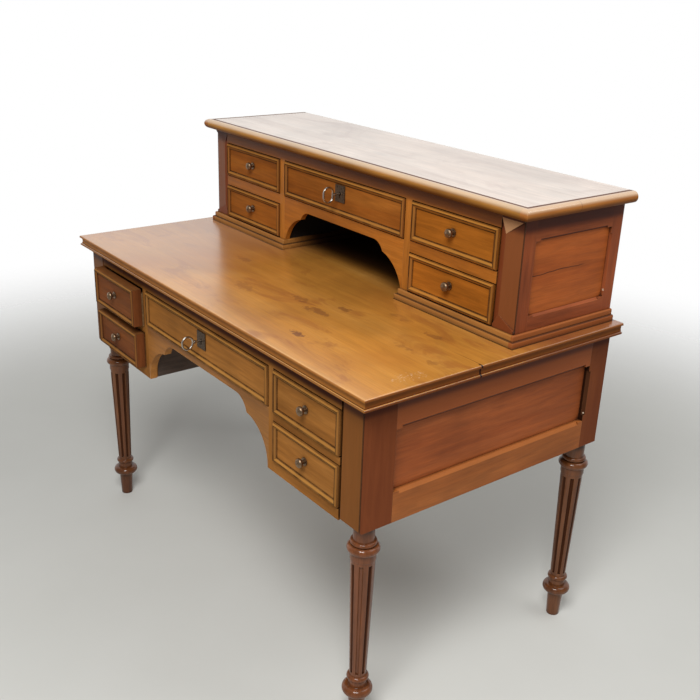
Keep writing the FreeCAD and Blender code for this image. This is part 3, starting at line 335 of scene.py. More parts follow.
# Rubbed, chipped and scuffed wood, and painted highlights
WORN_AND_HIGHLIGHT = srgb(206, 158, 100)
STOP_HIGHLIGHT = srgb(187, 141, 99)
CHIPPED = srgb(226, 206, 180)
NOSING_HIGHLIGHT = srgb(222, 190, 148)
RIDGE_WEAR_AND_HIGHLIGHT = srgb(166, 118, 48)
RIM_LIT = srgb(192, 142, 74)

# Parts of a board that differ from the rest of it
EDGE_BROWN = srgb(146, 88, 36)
EDGE_GOLD = srgb(172, 114, 54)
TABLE_SIDES = srgb(126, 68, 38)
# Painted glare on the left end of the desk top
TABLE_LEFT_GLARE = srgb(204, 160, 132)
POST_SIDE = srgb(126, 62, 32)
POST_FRONT = srgb(130, 80, 30)
OLIVE = srgb(124, 72, 37)


class Finish:
    """How a surface is polished: its shine, the varnish over it, how streaky it is, and how strong its
    paler edges and darker corners are; the edges are partly rubbing and partly a painted highlight, the
    corners partly dirt and partly painted shade.
    """

    def __init__(
        self, roughness, shine, coat=0.0, coat_roughness=0.20, coat_index=1.5, wear_and_highlight=0.40, corner_grime_and_shade=0.94,
        streaks=0.16,
    ):
        self.roughness = roughness
        self.shine = shine
        self.coat = coat
        self.coat_roughness = coat_roughness
        self.coat_index = coat_index
        self.wear_and_highlight = wear_and_highlight
        self.corner_grime_and_shade = corner_grime_and_shade
        self.streaks = streaks


VARNISH = Finish(roughness=0.48, shine=0.18)
MATT = Finish(roughness=0.60, shine=0.04)
RUBBED = Finish(roughness=0.50, shine=0.06, coat=1.0, coat_roughness=0.22, coat_index=2.2)
GLOSS = Finish(
    roughness=0.42, shine=0.05, coat=0.70, coat_roughness=0.07, wear_and_highlight=0.35, corner_grime_and_shade=0.70, streaks=0.24)
TABLE = Finish(
    roughness=0.45, shine=0.05, coat=1.0, coat_roughness=0.24, coat_index=1.9, wear_and_highlight=0.20, corner_grime_and_shade=0.30,
    streaks=0.07)
POLISH = Finish(
    roughness=0.45, shine=0.22, coat=1.0, coat_roughness=0.26, coat_index=3.4, wear_and_highlight=0.30, corner_grime_and_shade=0.60,
    streaks=0.10)
BARE = Finish(roughness=0.75, shine=0.30, coat_roughness=0.50, wear_and_highlight=0.10, corner_grime_and_shade=0.60, streaks=0.22)

# Grain: its noises, where each of them starts and is full, and what it does
FIGURE = Noise(11.0, 4.0, 0.55, 0.9)
FIGURE_STOPS = (0.30, 0.50, 0.72)
FIGURE_CALM = 0.45
STREAK = Noise(95.0, 3.0, 0.6, 0.4)
STREAK_SPAN = (0.25, 0.75)
CLOUD = Noise(4.2, 3.0, 0.55, 0.3)
CLOUD_SPAN = (0.3, 0.7)
CLOUD_SWING = 0.14
FIBRE = Noise(520.0, 2.0, 0.6)
FIBRE_SPAN = (0.3, 0.7)
FIBRE_LIGHT = (0.93, 1.05)
PORE = Noise(820.0, 1.0)
PORE_SPAN = (0.62, 0.72)
PORE_SHARE = 1.5
GRAIN_DEPTH = 0.6
GRAIN_BUMP = 0.22
GRAIN_BUMP_HEIGHT = 0.0006
ALONG_BROAD = 0.09
ALONG_FINE = 0.03
SECOND_SEED = 3.1

# Rubbed edges, partly a painted highlight, and dark corners, partly dirt and partly painted shade
EDGE_RADIUS = 0.0012
EDGE_TURN = (0.80, 0.985)
RUB_AND_HIGHLIGHT_OPEN = (0.55, 0.85)
RUB_AND_HIGHLIGHT_CLOUD = (0.35, 0.65)
RUB_AND_HIGHLIGHT_LEAST = 0.35
CORNER_REACH = 0.014
DIRT_AND_SHADE_OPEN = (0.25, 0.80)
DIRT_ROUGHNESS = 0.25
ROUGH_SPAN = (0.2, 0.8)
ROUGH_SWING = 0.05


def figured(shader, tone, streaks, broad, fine, streak, cloud):
    """The colour of clean wood and the depth of its grain."""
    fibre = shader.noise(fine, FIBRE)
    stops = list(zip(FIGURE_STOPS, (tone.dark, tone.middle, tone.light)))
    colour = shader.ramp(shader.noise(broad, FIGURE), stops)
    colour = shader.mix(FIGURE_CALM, colour, tone.middle)
    light = shader.fade(streak, *STREAK_SPAN, 1.0 - streaks, 1.0 + streaks)
    light = shader.plus(light, shader.fade(cloud, *CLOUD_SPAN, -CLOUD_SWING, CLOUD_SWING))
    light = shader.all_of(light, shader.fade(fibre, *FIBRE_SPAN, *FIBRE_LIGHT))
    colour = shader.mix(1.0, colour, light, "MULTIPLY")
    pores = shader.fade(shader.noise(fine, PORE), *PORE_SPAN, 0.0, streaks * PORE_SHARE)
    colour = shader.mix(pores, colour, tone.dark)
    return colour, shader.all_of(shader.minus(fibre, pores), GRAIN_DEPTH)


def wood(name, tone, finish, seed, grain, marks=None, coated=None):
    """Varnished wood. grain gives the stretched coordinates, marks may change the colour and the depth of
    the grain, and coated says where the varnish over it is still whole."""
    shader = Shader(name)
    place = shader.position()
    broad, fine = grain(shader, place, seed)
    streak = shader.noise(broad, STREAK)
    cloud = shader.noise(shader.stretched(place, "X", 1.0, seed), CLOUD)
    colour, depth = figured(shader, tone, finish.streaks, broad, fine, streak, cloud)
    if marks:
        colour, depth = marks(shader, place, colour, depth)

    bevel = shader.bevelled(EDGE_RADIUS)
    turn = shader.measure("DOT_PRODUCT", bevel, shader.normal())
    open_air = shader.openness(CORNER_REACH)
    # Paler rubbed edges: partly rubbing, partly a painted highlight
    rubbed_and_highlit = shader.fade(turn, *EDGE_TURN, finish.wear_and_highlight, 0.0)
    patchy = shader.fade(cloud, *RUB_AND_HIGHLIGHT_CLOUD, RUB_AND_HIGHLIGHT_LEAST, 1.0)
    colour = shader.paint(colour, WORN_AND_HIGHLIGHT, rubbed_and_highlit, shader.fade(open_air, *RUB_AND_HIGHLIGHT_OPEN), patchy)
    # Darker in corners and recesses: partly dirt, partly painted shade
    dirt_and_shade = shader.fade(open_air, *DIRT_AND_SHADE_OPEN, finish.corner_grime_and_shade, 0.0)
    shader.set("Base Color", shader.mix(dirt_and_shade, colour, GRIME_AND_SHADE))

    rough = shader.plus(shader.fade(streak, *ROUGH_SPAN, -ROUGH_SWING, ROUGH_SWING), finish.roughness)
    shader.set("Roughness", shader.plus(rough, shader.all_of(dirt_and_shade, DIRT_ROUGHNESS)))
    shader.relief(depth, GRAIN_BUMP, GRAIN_BUMP_HEIGHT, bevel)
    shader.set("Specular IOR Level", finish.shine)
    shader.set("Coat Normal", bevel)
    shader.set("Coat Weight", finish.coat)
    if coated:
        shader.set("Coat Weight", coated(shader, place, finish.coat))
    shader.set("Coat Roughness", finish.coat_roughness)
    shader.set("Coat IOR", finish.coat_index)
    return shader.material


def straight(axis):
    """Grain that runs one way through the whole node."""

    def grain(shader, place, seed):
        return [shader.stretched(place, axis, along, seed) for along in (ALONG_BROAD, ALONG_FINE)]

    return grain


def joined(first_axis, second_axis, is_second):
    """Grain that runs one way in some boards of a node and another way in the rest."""

    def grain(shader, place, seed):
        mask = is_second(shader, place)
        pairs = []
        for along in (ALONG_BROAD, ALONG_FINE):
            first = shader.stretched(place, first_axis, along, seed)
            second = shader.stretched(place, second_axis, along, seed + SECOND_SEED)
            pairs.append(shader.choose(mask, first, second))
        return pairs

    return grain


def stiles(inner, outer, top):
    """The uprights of a front frame, under its top rail."""

    def mask(shader, place):
        z = shader.split(place)[2]
        return shader.all_of(shader.between(shader.sideways(place), inner, outer), shader.below(z, top))

    return mask


def gradin_uprights(shader, place):
    """The corner posts and the rear stiles of the gradin's sides."""
    y = shader.split(place)[1]
    return shader.any_of(shader.below(y, GRADIN_POST_BACK), shader.above(y, GRADIN_REAR_STILE))


def returns(half):
    """The lengths of a moulding that run back along the two sides."""

    def mask(shader, place):
        return shader.above(shader.sideways(place), half)

    return mask


# Drawer rims: lines by how far in, half their width and how strong, then the other marks
# The shades are old wax and painted shade; the ridges are partly rubbing and partly a painted highlight
RIM_SHADES = [(0.0004, 0.0015, 0.80), (0.0056, 0.0019, 0.85), (0.0126, 0.0022, 0.88)]
RIM_RIDGES = [(0.0030, 0.0020, 0.28), (0.0088, 0.0022, 0.28)]
RIM_WIDTH = 0.0125
RIM_PATCHES = Noise(30.0, 3.0)
RIM_PATCH_SPAN = (0.3, 0.6)
RIM_PATCH_LEAST = 0.6
RIM_TOP_CLEAN = 0.62
RIM_SIDE_SHADE_SHARE = 0.45
RIM_LIT_SHARE = 0.30
MITRE_HALF = 0.0006
MITRE_SHARE = 0.7


def rim_distances(shader, place, low, high):
    """How far a point of a drawer front is from its nearer end and from its nearer long edge."""
    x, _, z = shader.split(place)
    across = shader.least(shader.minus(x, low[0]), shader.minus(high[0], x))
    down = shader.least(shader.minus(z, low[2]), shader.minus(high[2], z))
    return across, down


def rim_sides(node):
    """The left and right lengths of a drawer front's rim, up to their mitres."""
    low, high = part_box(node)

    def mask(shader, place):
        across, down = rim_distances(shader, place, low, high)
        return shader.all_of(shader.below(across, down), shader.below(across, RIM_WIDTH))

    return mask


def rim_marks(node):
    """Old wax and painted shade in the hollows of a drawer's rim, paler ridges that are partly rubbing and
    partly a painted highlight, fine lines where its lengths meet, painted shade on the uprights and painted
    light on the lengths that lie level."""
    low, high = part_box(node)

    def marks(shader, place, colour, depth):
        across, down = rim_distances(shader, place, low, high)
        inward = shader.least(across, down)
        patchy = shader.fade(shader.noise(place, RIM_PATCHES), *RIM_PATCH_SPAN, RIM_PATCH_LEAST, 1.0)
        edges = shader.any_of(shader.facing("X"), shader.all_of(shader.facing("Z"), RIM_TOP_CLEAN))
        in_front = shader.without(edges)
        at_side = shader.below(across, RIM_WIDTH)
        # Painted shade on the uprights of the rim and painted light on its level lengths
        upright = shader.all_of(shader.below(across, down), at_side, in_front)
        colour = shader.paint(colour, RIM_SIDE_SHADE, upright, RIM_SIDE_SHADE_SHARE)
        level = shader.all_of(shader.below(down, across), shader.below(down, RIM_WIDTH), in_front)
        colour = shader.paint(colour, RIM_LIT, level, RIM_LIT_SHARE)
        for distance, half, strength in RIM_RIDGES:
            colour = shader.paint(colour, RIDGE_WEAR_AND_HIGHLIGHT, shader.line(inward, distance, half), patchy, strength)
        for distance, half, strength in RIM_SHADES:
            hollow = shader.line(inward, distance, half)
            colour = shader.paint(colour, GRIME_AND_SHADE, hollow, patchy, in_front, strength)
        mitre = shader.line(shader.minus(across, down), 0.0, MITRE_HALF)
        return shader.paint(colour, GRIME_AND_SHADE, mitre, at_side, MITRE_SHARE), depth

    return marks


# Painted shade under a ledge: how far down it reaches and how strong it is
SLAB_SHADE = (0.034, 0.75)
FRONT_RAIL_SHADE = (SLAB_BOTTOM - DRAWERS_TOP, 0.92)
PANEL_SHADE = (0.006, 0.75)
GRADIN_RAIL_SHADE = (0.036, 0.70)
GRADIN_POST_SHADE = (0.036, 0.75)

# Chamfers that look down, with painted shade, and that look up, with painted light, and the upper rail of a
# side
CHAMFER_DOWN = (-0.6, -0.3)
CHAMFER_DOWN_SHARE = 0.75
CHAMFER_UP = (0.3, 0.6)
CHAMFER_UP_SHARE = 0.45
UPPER_RAIL_FROM = (0.60, 0.62)
UPPER_RAIL_SHARE = 0.75

# Chips in the varnish
CHIP_RADIUS = 0.0030
DESK_CHIP = (0.576, 0.310, 0.556)
GRADIN_CHIP = (0.570, 0.327, 0.836)


def shade_under_ledge(shader, place, colour, level, reach, strength):
    """Painted shade under a ledge."""
    z = shader.split(place)[2]
    near = shader.fade(z, level - reach, level - reach * LEDGE_CORE)
    return shader.paint(colour, PAINTED_SHADE_BROWN, near, strength)


def shaded_under(level, reach, strength):
    """Marks that are only the painted shade under one ledge."""

    def marks(shader, place, colour, depth):
        return shade_under_ledge(shader, place, colour, level, reach, strength), depth

    return marks


def chip(shader, place, centre):
    """A small spot where the varnish has come off."""
    distance = shader.measure("DISTANCE", place, centre)
    return shader.fall(distance, CHIP_RADIUS * CHIP_CORE, CHIP_RADIUS)


def arris(shader, place, half, front, side_insets, front_insets):
    """The outer front corner of a post; the insets are where its line is full and where it ends."""
    y = shader.split(place)[1]
    at_side = shader.fade(shader.sideways(place), half - side_insets[1], half - side_insets[0])
    return shader.all_of(at_side, shader.fall(y, front + front_insets[0], front + front_insets[1]))


def outside(shader, place, low, high):
    """How far a point is outside the front and the ends of a box, below zero inside it."""
    past = shader.minus(shader.sideways(place), high[0])
    ahead = shader.minus(low[1], shader.split(place)[1])
    return shader.any_of(past, ahead)


def side_rail_marks(shader, place, colour, depth):
    """The upper rail is redder, with painted shade under the desk top and on its chamfer; the chamfer of
    the lower one has painted light."""
    z = shader.split(place)[2]
    upward = shader.upward()
    colour = shader.paint(colour, RUDDY.middle, shader.fade(z, *UPPER_RAIL_FROM), UPPER_RAIL_SHARE)
    # Painted light on the chamfer that looks up, painted shade on the one that looks down
    colour = shader.paint(colour, RAIL.light, shader.fade(upward, *CHAMFER_UP), CHAMFER_UP_SHARE)
    colour = shader.paint(colour, PAINTED_SHADE_BROWN, shader.fall(upward, *CHAMFER_DOWN), CHAMFER_DOWN_SHARE)
    return shade_under_ledge(shader, place, colour, SLAB_BOTTOM, *SLAB_SHADE), depth


# Painted shade in the pigeonhole, and a darker strip along the foot of the plinth
PIGEONHOLE_SHADE_DEPTH = 0.11
PIGEONHOLE_SHADE_SHARE = 0.94
PLINTH_FOOT = (0.0020, 0.0050)
PLINTH_FOOT_DARK = 0.85
PLINTH_OVERHANG = PLINTH_HIGH[0] - GRADIN_HALF
PLINTH_OUTER_SHARE = 0.75
PLINTH_FRONT_SHARE = 0.35
PLINTH_LINE_HALF = 0.0016
PLINTH_LINE_SHARE = 0.7


def pigeonhole_shade(shader, place):
    """Painted shade that gets deeper towards the back of the pigeonhole."""
    y = shader.split(place)[1]
    inside = shader.below(shader.sideways(place), PIGEONHOLE_HALF)
    deeper = shader.fade(y, GRADIN_Y, GRADIN_Y + PIGEONHOLE_SHADE_DEPTH)
    return shader.all_of(inside, shader.below(y, GRADIN_BACK), deeper, PIGEONHOLE_SHADE_SHARE)


def plinth_foot(shader, place):
    """A darker strip on the desk top along the foot of the plinth."""
    near = shader.fall(outside(shader, place, PLINTH_LOW, PLINTH_HIGH), *PLINTH_FOOT)
    beside = shader.above(shader.sideways(place), PIGEONHOLE_HALF - PLINTH_OVERHANG)
    return shader.all_of(near, beside, PLINTH_FOOT_DARK)


def plinth_marks(shader, place, colour, depth):
    """Golden front lengths, redder outer lengths, a dark line over the step, and painted shade on the
    lengths that return into the pigeonhole."""
    z = shader.split(place)[2]
    outer = shader.above(shader.sideways(place), GRADIN_HALF)
    colour = shader.paint(colour, GOLDEN.light, shader.facing("Y"), PLINTH_FRONT_SHARE)
    colour = shader.paint(colour, RUDDY.middle, outer, PLINTH_OUTER_SHARE)
    step = shader.line(z, PLINTH_STEP, PLINTH_LINE_HALF)
    colour = shader.paint(colour, GRIME_AND_SHADE, step, PLINTH_LINE_SHARE)
    return shader.mix(pigeonhole_shade(shader, place), colour, GRIME_AND_SHADE), depth


# Stains on the desk top: where they are, how long and wide, and how strong
STAINS = [
    ((0.288, -0.255), 0.030, 0.010, 0.75), ((0.200, -0.145), 0.045, 0.014, 0.50),
    ((0.228, -0.088), 0.022, 0.012, 0.55), ((-0.204, -0.079), 0.030, 0.012, 0.35),
    ((0.118, -0.130), 0.038, 0.012, 0.40), ((0.446, -0.032), 0.030, 0.009, 0.45),
    ((0.546, -0.128), 0.016, 0.010, 0.35), ((0.454, -0.120), 0.024, 0.010, 0.35),
    ((-0.020, -0.190), 0.050, 0.016, 0.28), ((0.330, -0.020), 0.040, 0.012, 0.30),
]
STAIN_RAGS = Noise(60.0, 3.0, 0.6)
STAIN_RAG_SPAN = (0.3, 0.7)
STAIN_RAG_SWING = 0.7
STAIN_REACH = (0.2, 1.1)

# Worn places on the desk top
SCUFFED = ((0.572, -0.208), 0.020, 0.045)
SCUFFS = Noise(330.0, 2.0)
SCUFF_SPAN = (0.60, 0.66)
SCUFF_SHARE = 0.5
TABLE_CLOUDS = Patches(Noise(2.6, 3.0, 0.5, 0.6), (0.48, 0.70), 0.60, srgb(164, 98, 40))
TABLE_PATCHES = Patches(Noise(13.0, 4.0, 0.6, 1.2), (0.54, 0.70), 0.50, srgb(146, 82, 38))
TABLE_PATCH_GRAIN = ("X", 0.4, 2.0)
TABLE_SIDES_FROM = (GRADIN_Y - 0.06, GRADIN_Y + 0.10)
TABLE_SIDES_SHARE = 0.80
TABLE_GLARE_FROM = (-0.10, -0.50)
TABLE_GLARE_SHARE = 0.35
TABLE_TOP_UPWARD = (0.55, 0.95)
TABLE_POLISH_UPWARD = (0.35, 0.95)

# Moulded edge of the desk top
EDGE_MOTTLE = Noise(22.0, 4.0, 0.6)
EDGE_DEPTH = 0.012
EDGE_BEAD = SLAB_BOTTOM + 0.006
EDGE_BEAD_HALF = 0.0022
EDGE_BEAD_SHARE = 0.85
# Painted shade at the foot of the edge
EDGE_FOOT = (SLAB_BOTTOM + 0.001, SLAB_BOTTOM + 0.004)
EDGE_FOOT_SHARE = 0.1
EDGE_END_RISE = 0.003
EDGE_END_SHARES = (0.80, 0.62)

# Open seam near the right end of the desk top
SEAM_Y = -0.056
SEAM_FROM_X = (0.480, 0.620)
SEAM_WANDER = Noise(9.0)
SEAM_SWING = 0.002
SEAM_HALF = 0.0011
SEAM_SHARE = 0.85
SPLIT_HALF = 0.0030
SPLIT_DEPTH = 0.010


def blot(shader, place, ragged, centre, length, width):
    """A ragged oval spot on a level surface."""
    x, y, _ = shader.split(place)
    along = shader.math("DIVIDE", shader.minus(x, centre[0]), length)
    across = shader.math("DIVIDE", shader.minus(y, centre[1]), width)
    stray = shader.fade(ragged, *STAIN_RAG_SPAN, -STAIN_RAG_SWING, STAIN_RAG_SWING)
    return shader.fall(shader.plus(shader.squares(along, across), stray), *STAIN_REACH)


def table_edge(shader, place):
    """The desk top's moulded edge: a dark line where its bead meets the hollow, painted shade at its foot,
    redder at the ends.
    """
    z = shader.split(place)[2]
    colour = shader.mix(shader.noise(place, EDGE_MOTTLE), EDGE_BROWN, EDGE_GOLD)
    colour = shader.paint(colour, GRIME_AND_SHADE, shader.line(z, EDGE_BEAD, EDGE_BEAD_HALF), EDGE_BEAD_SHARE)
    colour = shader.paint(colour, GRIME_AND_SHADE, shader.fall(z, *EDGE_FOOT), EDGE_FOOT_SHARE)
    at_end = shader.above(shader.sideways(place), SLAB_HALF - EDGE_DEPTH)
    redder = shader.fade(z, EDGE_BEAD, EDGE_BEAD + EDGE_END_RISE, *EDGE_END_SHARES)
    return shader.paint(colour, MAROON.dark, at_end, shader.facing("X"), redder)


def table_seam(shader, place):
    """An open joint that widens into a split at the right end of the desk top."""
    x, y, _ = shader.split(place)
    seam = shader.line(shader.wander(y, place, SEAM_WANDER, SEAM_SWING), SEAM_Y, SEAM_HALF)
    seam = shader.all_of(seam, shader.fade(x, *SEAM_FROM_X), SEAM_SHARE)
    split = shader.all_of(shader.line(y, SEAM_Y, SPLIT_HALF), shader.above(x, SLAB_HALF - SPLIT_DEPTH))
    return shader.any_of(seam, split)


def table_marks(shader, place, colour, depth):
    """Clouds, scuffed places, stains, a painted glare towards the left end, painted shade in the
    pigeonhole, an open seam and the darker moulded edge of the desk top.
    """
    x, y, _ = shader.split(place)
    ragged = shader.noise(place, STAIN_RAGS)
    colour = shader.clouded(colour, place, TABLE_CLOUDS)
    colour = shader.clouded(colour, shader.stretched(place, *TABLE_PATCH_GRAIN), TABLE_PATCHES)
    scuffs = shader.fade(shader.noise(place, SCUFFS), *SCUFF_SPAN)
    colour = shader.paint(colour, CHIPPED, scuffs, blot(shader, place, ragged, *SCUFFED), SCUFF_SHARE)
    for centre, length, width, strength in STAINS:
        spot = blot(shader, place, ragged, centre, length, width)
        colour = shader.paint(colour, STAIN, spot, strength)
    beside = shader.all_of(
        shader.above(shader.sideways(place), GRADIN_HALF), shader.fade(y, *TABLE_SIDES_FROM))
    colour = shader.paint(colour, TABLE_SIDES, beside, TABLE_SIDES_SHARE)
    colour = shader.mix(plinth_foot(shader, place), colour, GRIME_AND_SHADE)
    # Painted glare towards the left end
    colour = shader.paint(colour, TABLE_LEFT_GLARE, shader.fade(x, *TABLE_GLARE_FROM), TABLE_GLARE_SHARE)
    # Painted shade in the pigeonhole
    colour = shader.mix(pigeonhole_shade(shader, place), colour, GRIME_AND_SHADE)
    on_top = shader.fade(shader.upward(), *TABLE_TOP_UPWARD)
    colour = shader.mix(on_top, table_edge(shader, place), colour)
    seam = table_seam(shader, place)
    return shader.mix(seam, colour, GRIME_AND_SHADE), shader.minus(depth, seam)


def polished_table(shader, place, coat):
    """The desk top is polished on its upper face, and dull on its edge and in the pigeonhole."""
    clean = shader.without(pigeonhole_shade(shader, place))
    return shader.all_of(shader.fade(shader.upward(), *TABLE_POLISH_UPWARD), clean, coat)


# Legs and their posts
# Painted shade in the flutes: the depths over which it grows, its strength, and how far a flute looks out
# over a corner
FLUTE_DEPTHS = (0.0004, 0.0026)
FLUTE_SHADE_SHARE = 0.8
DIAGONAL_SPAN = (0.3, 0.6)
GLOSS_STOP = 0.002
POST_GLOSS = 0.04
POST_FROM = (BODY_BOTTOM - 0.001, BODY_BOTTOM + 0.001)
POST_SIDE_SHARE = 0.6
POST_FRONT_SHARE = 0.7
# The strength of the painted shade in a back post's chamfer
POST_RECESS_SHARE = 0.9
POST_ARRIS = (0.0012, 0.0028)
ARRIS_SHARE = 0.8
# Painted shade round the neck of the leg: where it grows, and how strong it is
NECK_FROM = (BODY_BOTTOM - 0.022, BODY_BOTTOM - 0.006)
NECK_SHARE = 0.7


def flute_shade(shader, place, axis, diagonal):
    """Painted shade in the flutes of a leg; diagonal is how much of it those get that look out over a
    corner.
    """
    x, y, z = shader.split(place)
    across = shader.minus(x, axis[0])
    along = shader.minus(y, axis[1])
    radius = shader.math("SQRT", shader.squares(across, along))
    rise = shader.all_of(shader.minus(z, SHAFT_LOW), SHAFT_TAPER)
    sunk = shader.minus(shader.plus(rise, SHAFT_LOW_RADIUS), radius)
    nearer = shader.least(shader.size_of(across), shader.size_of(along))
    share = shader.fade(shader.math("DIVIDE", nearer, radius), *DIAGONAL_SPAN, 1.0, diagonal)
    in_shaft = shader.between(z, SHAFT_LOW, SHAFT_HIGH)
    return shader.all_of(shader.fade(sunk, *FLUTE_DEPTHS), in_shaft, share)


def leg_marks(axis, diagonal):
    """Marks on a leg and the post over it."""

    def marks(shader, place, colour, depth):
        colour = shader.paint(colour, FLUTE_SHADE, flute_shade(shader, place, axis, diagonal), FLUTE_SHADE_SHARE)
        return post_marks(shader, place, colour), depth

    return marks


def post_marks(shader, place, colour):
    """A dark line down the outer front corner of a desk post, redder wood on its outer side, golden wood on
    its front, and painted shade in the chamfer of a back post, round the neck of the leg and under the desk
    top."""
    _, y, z = shader.split(place)
    post = shader.fade(z, *POST_FROM)
    colour = shader.paint(colour, POST_SIDE, post, shader.facing("X"), POST_SIDE_SHARE)
    in_front = shader.below(y, 0.0)
    colour = shader.paint(colour, POST_FRONT, post, shader.facing("Y"), in_front, POST_FRONT_SHARE)
    # Painted shade in the chamfer of a back post
    recess = shader.all_of(shader.without(shader.facing("X")), shader.between(y, 0.0, BACK_POST_EDGE))
    colour = shader.paint(colour, GRIME_AND_SHADE, post, recess, POST_RECESS_SHARE)
    colour = shader.mix(chip(shader, place, DESK_CHIP), colour, CHIPPED)
    # Painted shade round the neck of the leg
    neck = shader.all_of(shader.fade(z, *NECK_FROM), shader.below(z, BODY_BOTTOM))
    colour = shader.paint(colour, GRIME_AND_SHADE, neck, NECK_SHARE)
    colour = shade_under_ledge(shader, place, colour, SLAB_BOTTOM, *SLAB_SHADE)
    corner = arris(shader, place, BODY_HALF, FRONT_Y, POST_ARRIS, POST_ARRIS)
    return shader.paint(colour, GRIME_AND_SHADE, corner, post, ARRIS_SHARE)


def polished_leg(axis, diagonal):
    """The turned part of a leg is glossier than its post, and dull in the flutes."""

    def coated(shader, place, coat):
        z = shader.split(place)[2]
        glossy = shader.fade(z, BODY_BOTTOM - GLOSS_STOP, BODY_BOTTOM, coat, coat * POST_GLOSS)
        return shader.all_of(glossy, shader.without(flute_shade(shader, place, axis, diagonal)))

    return coated


# Sides of the gradin: the crack in a panel, and the posts with how far their cants are turned
CRACK_WANDER = Noise(14.0, 3.0)
CRACK_SWING = 0.003
CRACK_Z = 0.902
CRACK_HALF = 0.0012
CRACK_ENDS_Y = (0.270, 0.240)
CRACK_SHARE = 0.85
CANT_TURNED = (0.12, 0.17)
CANT_SHARE = 0.7
UNCUT_TURNED = (0.03, 0.06)
UNCUT_FOOT_SHARE = 0.6
GRADIN_FRONT_SHARE = 0.85
GRADIN_ARRIS_SIDE = (0.0014, 0.0030)
GRADIN_ARRIS_FRONT = (0.0045, 0.0065)
# Painted highlight on the stop above the right post's cants: where it ends at the top, and how strong it is
STOP_HIGHLIGHT_TOP = GRADIN_ROOF - 0.008
STOP_HIGHLIGHT_SHARE = 0.8


def cracked_panel(shader, place, colour, depth):
    """A crack that wanders along the gradin's side panel."""
    _, y, z = shader.split(place)
    crack = shader.line(shader.wander(z, place, CRACK_WANDER, CRACK_SWING), CRACK_Z, CRACK_HALF)
    crack = shader.all_of(crack, shader.fade(y, *CRACK_ENDS_Y))
    return shader.paint(colour, GRIME_AND_SHADE, crack, CRACK_SHARE), shader.minus(depth, crack)


def gradin_post_marks(shader, place, colour, depth):
    """Browner wood on the fronts of the corner posts, redder on their narrow inner cants, a pale painted
    highlight above the right post's cants, a dark outer corner, painted shade under the roof, and painted
    shade on the chamfer that looks down."""
    x, y, z = shader.split(place)
    normal = shader.split(shader.normal("True Normal"))
    turned = shader.size_of(normal[0])
    cant_top = GRADIN_ROOF - CANT_STOP
    # Painted shade on the chamfer that looks down
    colour = shader.paint(colour, PAINTED_SHADE_BROWN, shader.fall(normal[2], *CHAMFER_DOWN), CHAMFER_DOWN_SHARE)
    forward = shader.all_of(shader.below(y, GRADIN_POST_BACK), shader.facing("Y"))
    colour = shader.paint(colour, OLIVE, forward, GRADIN_FRONT_SHARE)
    colour = shader.paint(colour, RUDDY.dark, forward, shader.fade(turned, *CANT_TURNED), CANT_SHARE)
    uncut = shader.all_of(forward, shader.fall(turned, *UNCUT_TURNED))
    colour = shader.paint(colour, RUDDY.dark, uncut, shader.below(z, cant_top), UNCUT_FOOT_SHARE)
    colour = shade_under_ledge(shader, place, colour, GRADIN_ROOF, *GRADIN_POST_SHADE)
    # Painted highlight above the cants of the right post
    lit_stop = shader.all_of(uncut, shader.between(z, cant_top, STOP_HIGHLIGHT_TOP), shader.above(x, 0.0))
    colour = shader.paint(colour, STOP_HIGHLIGHT, lit_stop, STOP_HIGHLIGHT_SHARE)
    colour = shader.mix(chip(shader, place, GRADIN_CHIP), colour, CHIPPED)
    corner = arris(shader, place, GRADIN_HALF, GRADIN_Y, GRADIN_ARRIS_SIDE, GRADIN_ARRIS_FRONT)
    return shader.paint(colour, GRIME_AND_SHADE, corner, ARRIS_SHARE), depth


# Top of the gradin: the board, and the moulding round it with the heights of its marks
BOARD_CLOUDS = Patches(Noise(7.0, 4.0, 0.6, 1.0), (0.50, 0.70), 0.45, srgb(150, 108, 90))
BOARD_CLOUD_GRAIN = ("X", 0.5, 5.0)
BOARD_EDGE = (-0.0034, -0.0014)
BOARD_EDGE_SHARE = 0.90
GROOVE_EDGE = (0.0050, 0.0072)
GROOVE_SHARE = 0.90
NOSING_POLISH = (NOSING_TOP - 0.011, NOSING_TOP - 0.004)
# Painted highlight on the upper side of the moulding and painted shade on its lower side
NOSING_HIGHLIGHT_SPAN = (NOSING_TOP - 0.010, NOSING_TOP - 0.002)
NOSING_HIGHLIGHT_SHARE = 0.60
NOSING_SHADE_SPAN = (NOSING_TOP - 0.020, NOSING_TOP - 0.009)
NOSING_SHADE_SHARE = 0.65
NOSING_END_SHARE = 0.55
NOSING_JOINT_Y = 0.190
NOSING_JOINT_HALF = 0.0008
NOSING_JOINT_SHARE = 0.6


def board_marks(shader, place, colour, depth):
    """Dirt along the edge of the gradin's top board, and faint brown clouds in its old thinned polish."""
    colour = shader.clouded(colour, shader.stretched(place, *BOARD_CLOUD_GRAIN), BOARD_CLOUDS)
    edge = shader.fade(outside(shader, place, BOARD_LOW, BOARD_HIGH), *BOARD_EDGE)
    return shader.paint(colour, QUIRK, edge, BOARD_EDGE_SHARE), depth


def polished_board(shader, place, coat):
    """The gradin's top board is polished, apart from its grimy edge."""
    return shader.all_of(shader.fall(outside(shader, place, BOARD_LOW, BOARD_HIGH), *BOARD_EDGE), coat)


def nosing_groove(shader, place):
    """The grimy joint between the gradin's top board and the moulding round it."""
    near = shader.fall(outside(shader, place, BOARD_LOW, BOARD_HIGH), *GROOVE_EDGE)
    return shader.all_of(near, GROOVE_SHARE)


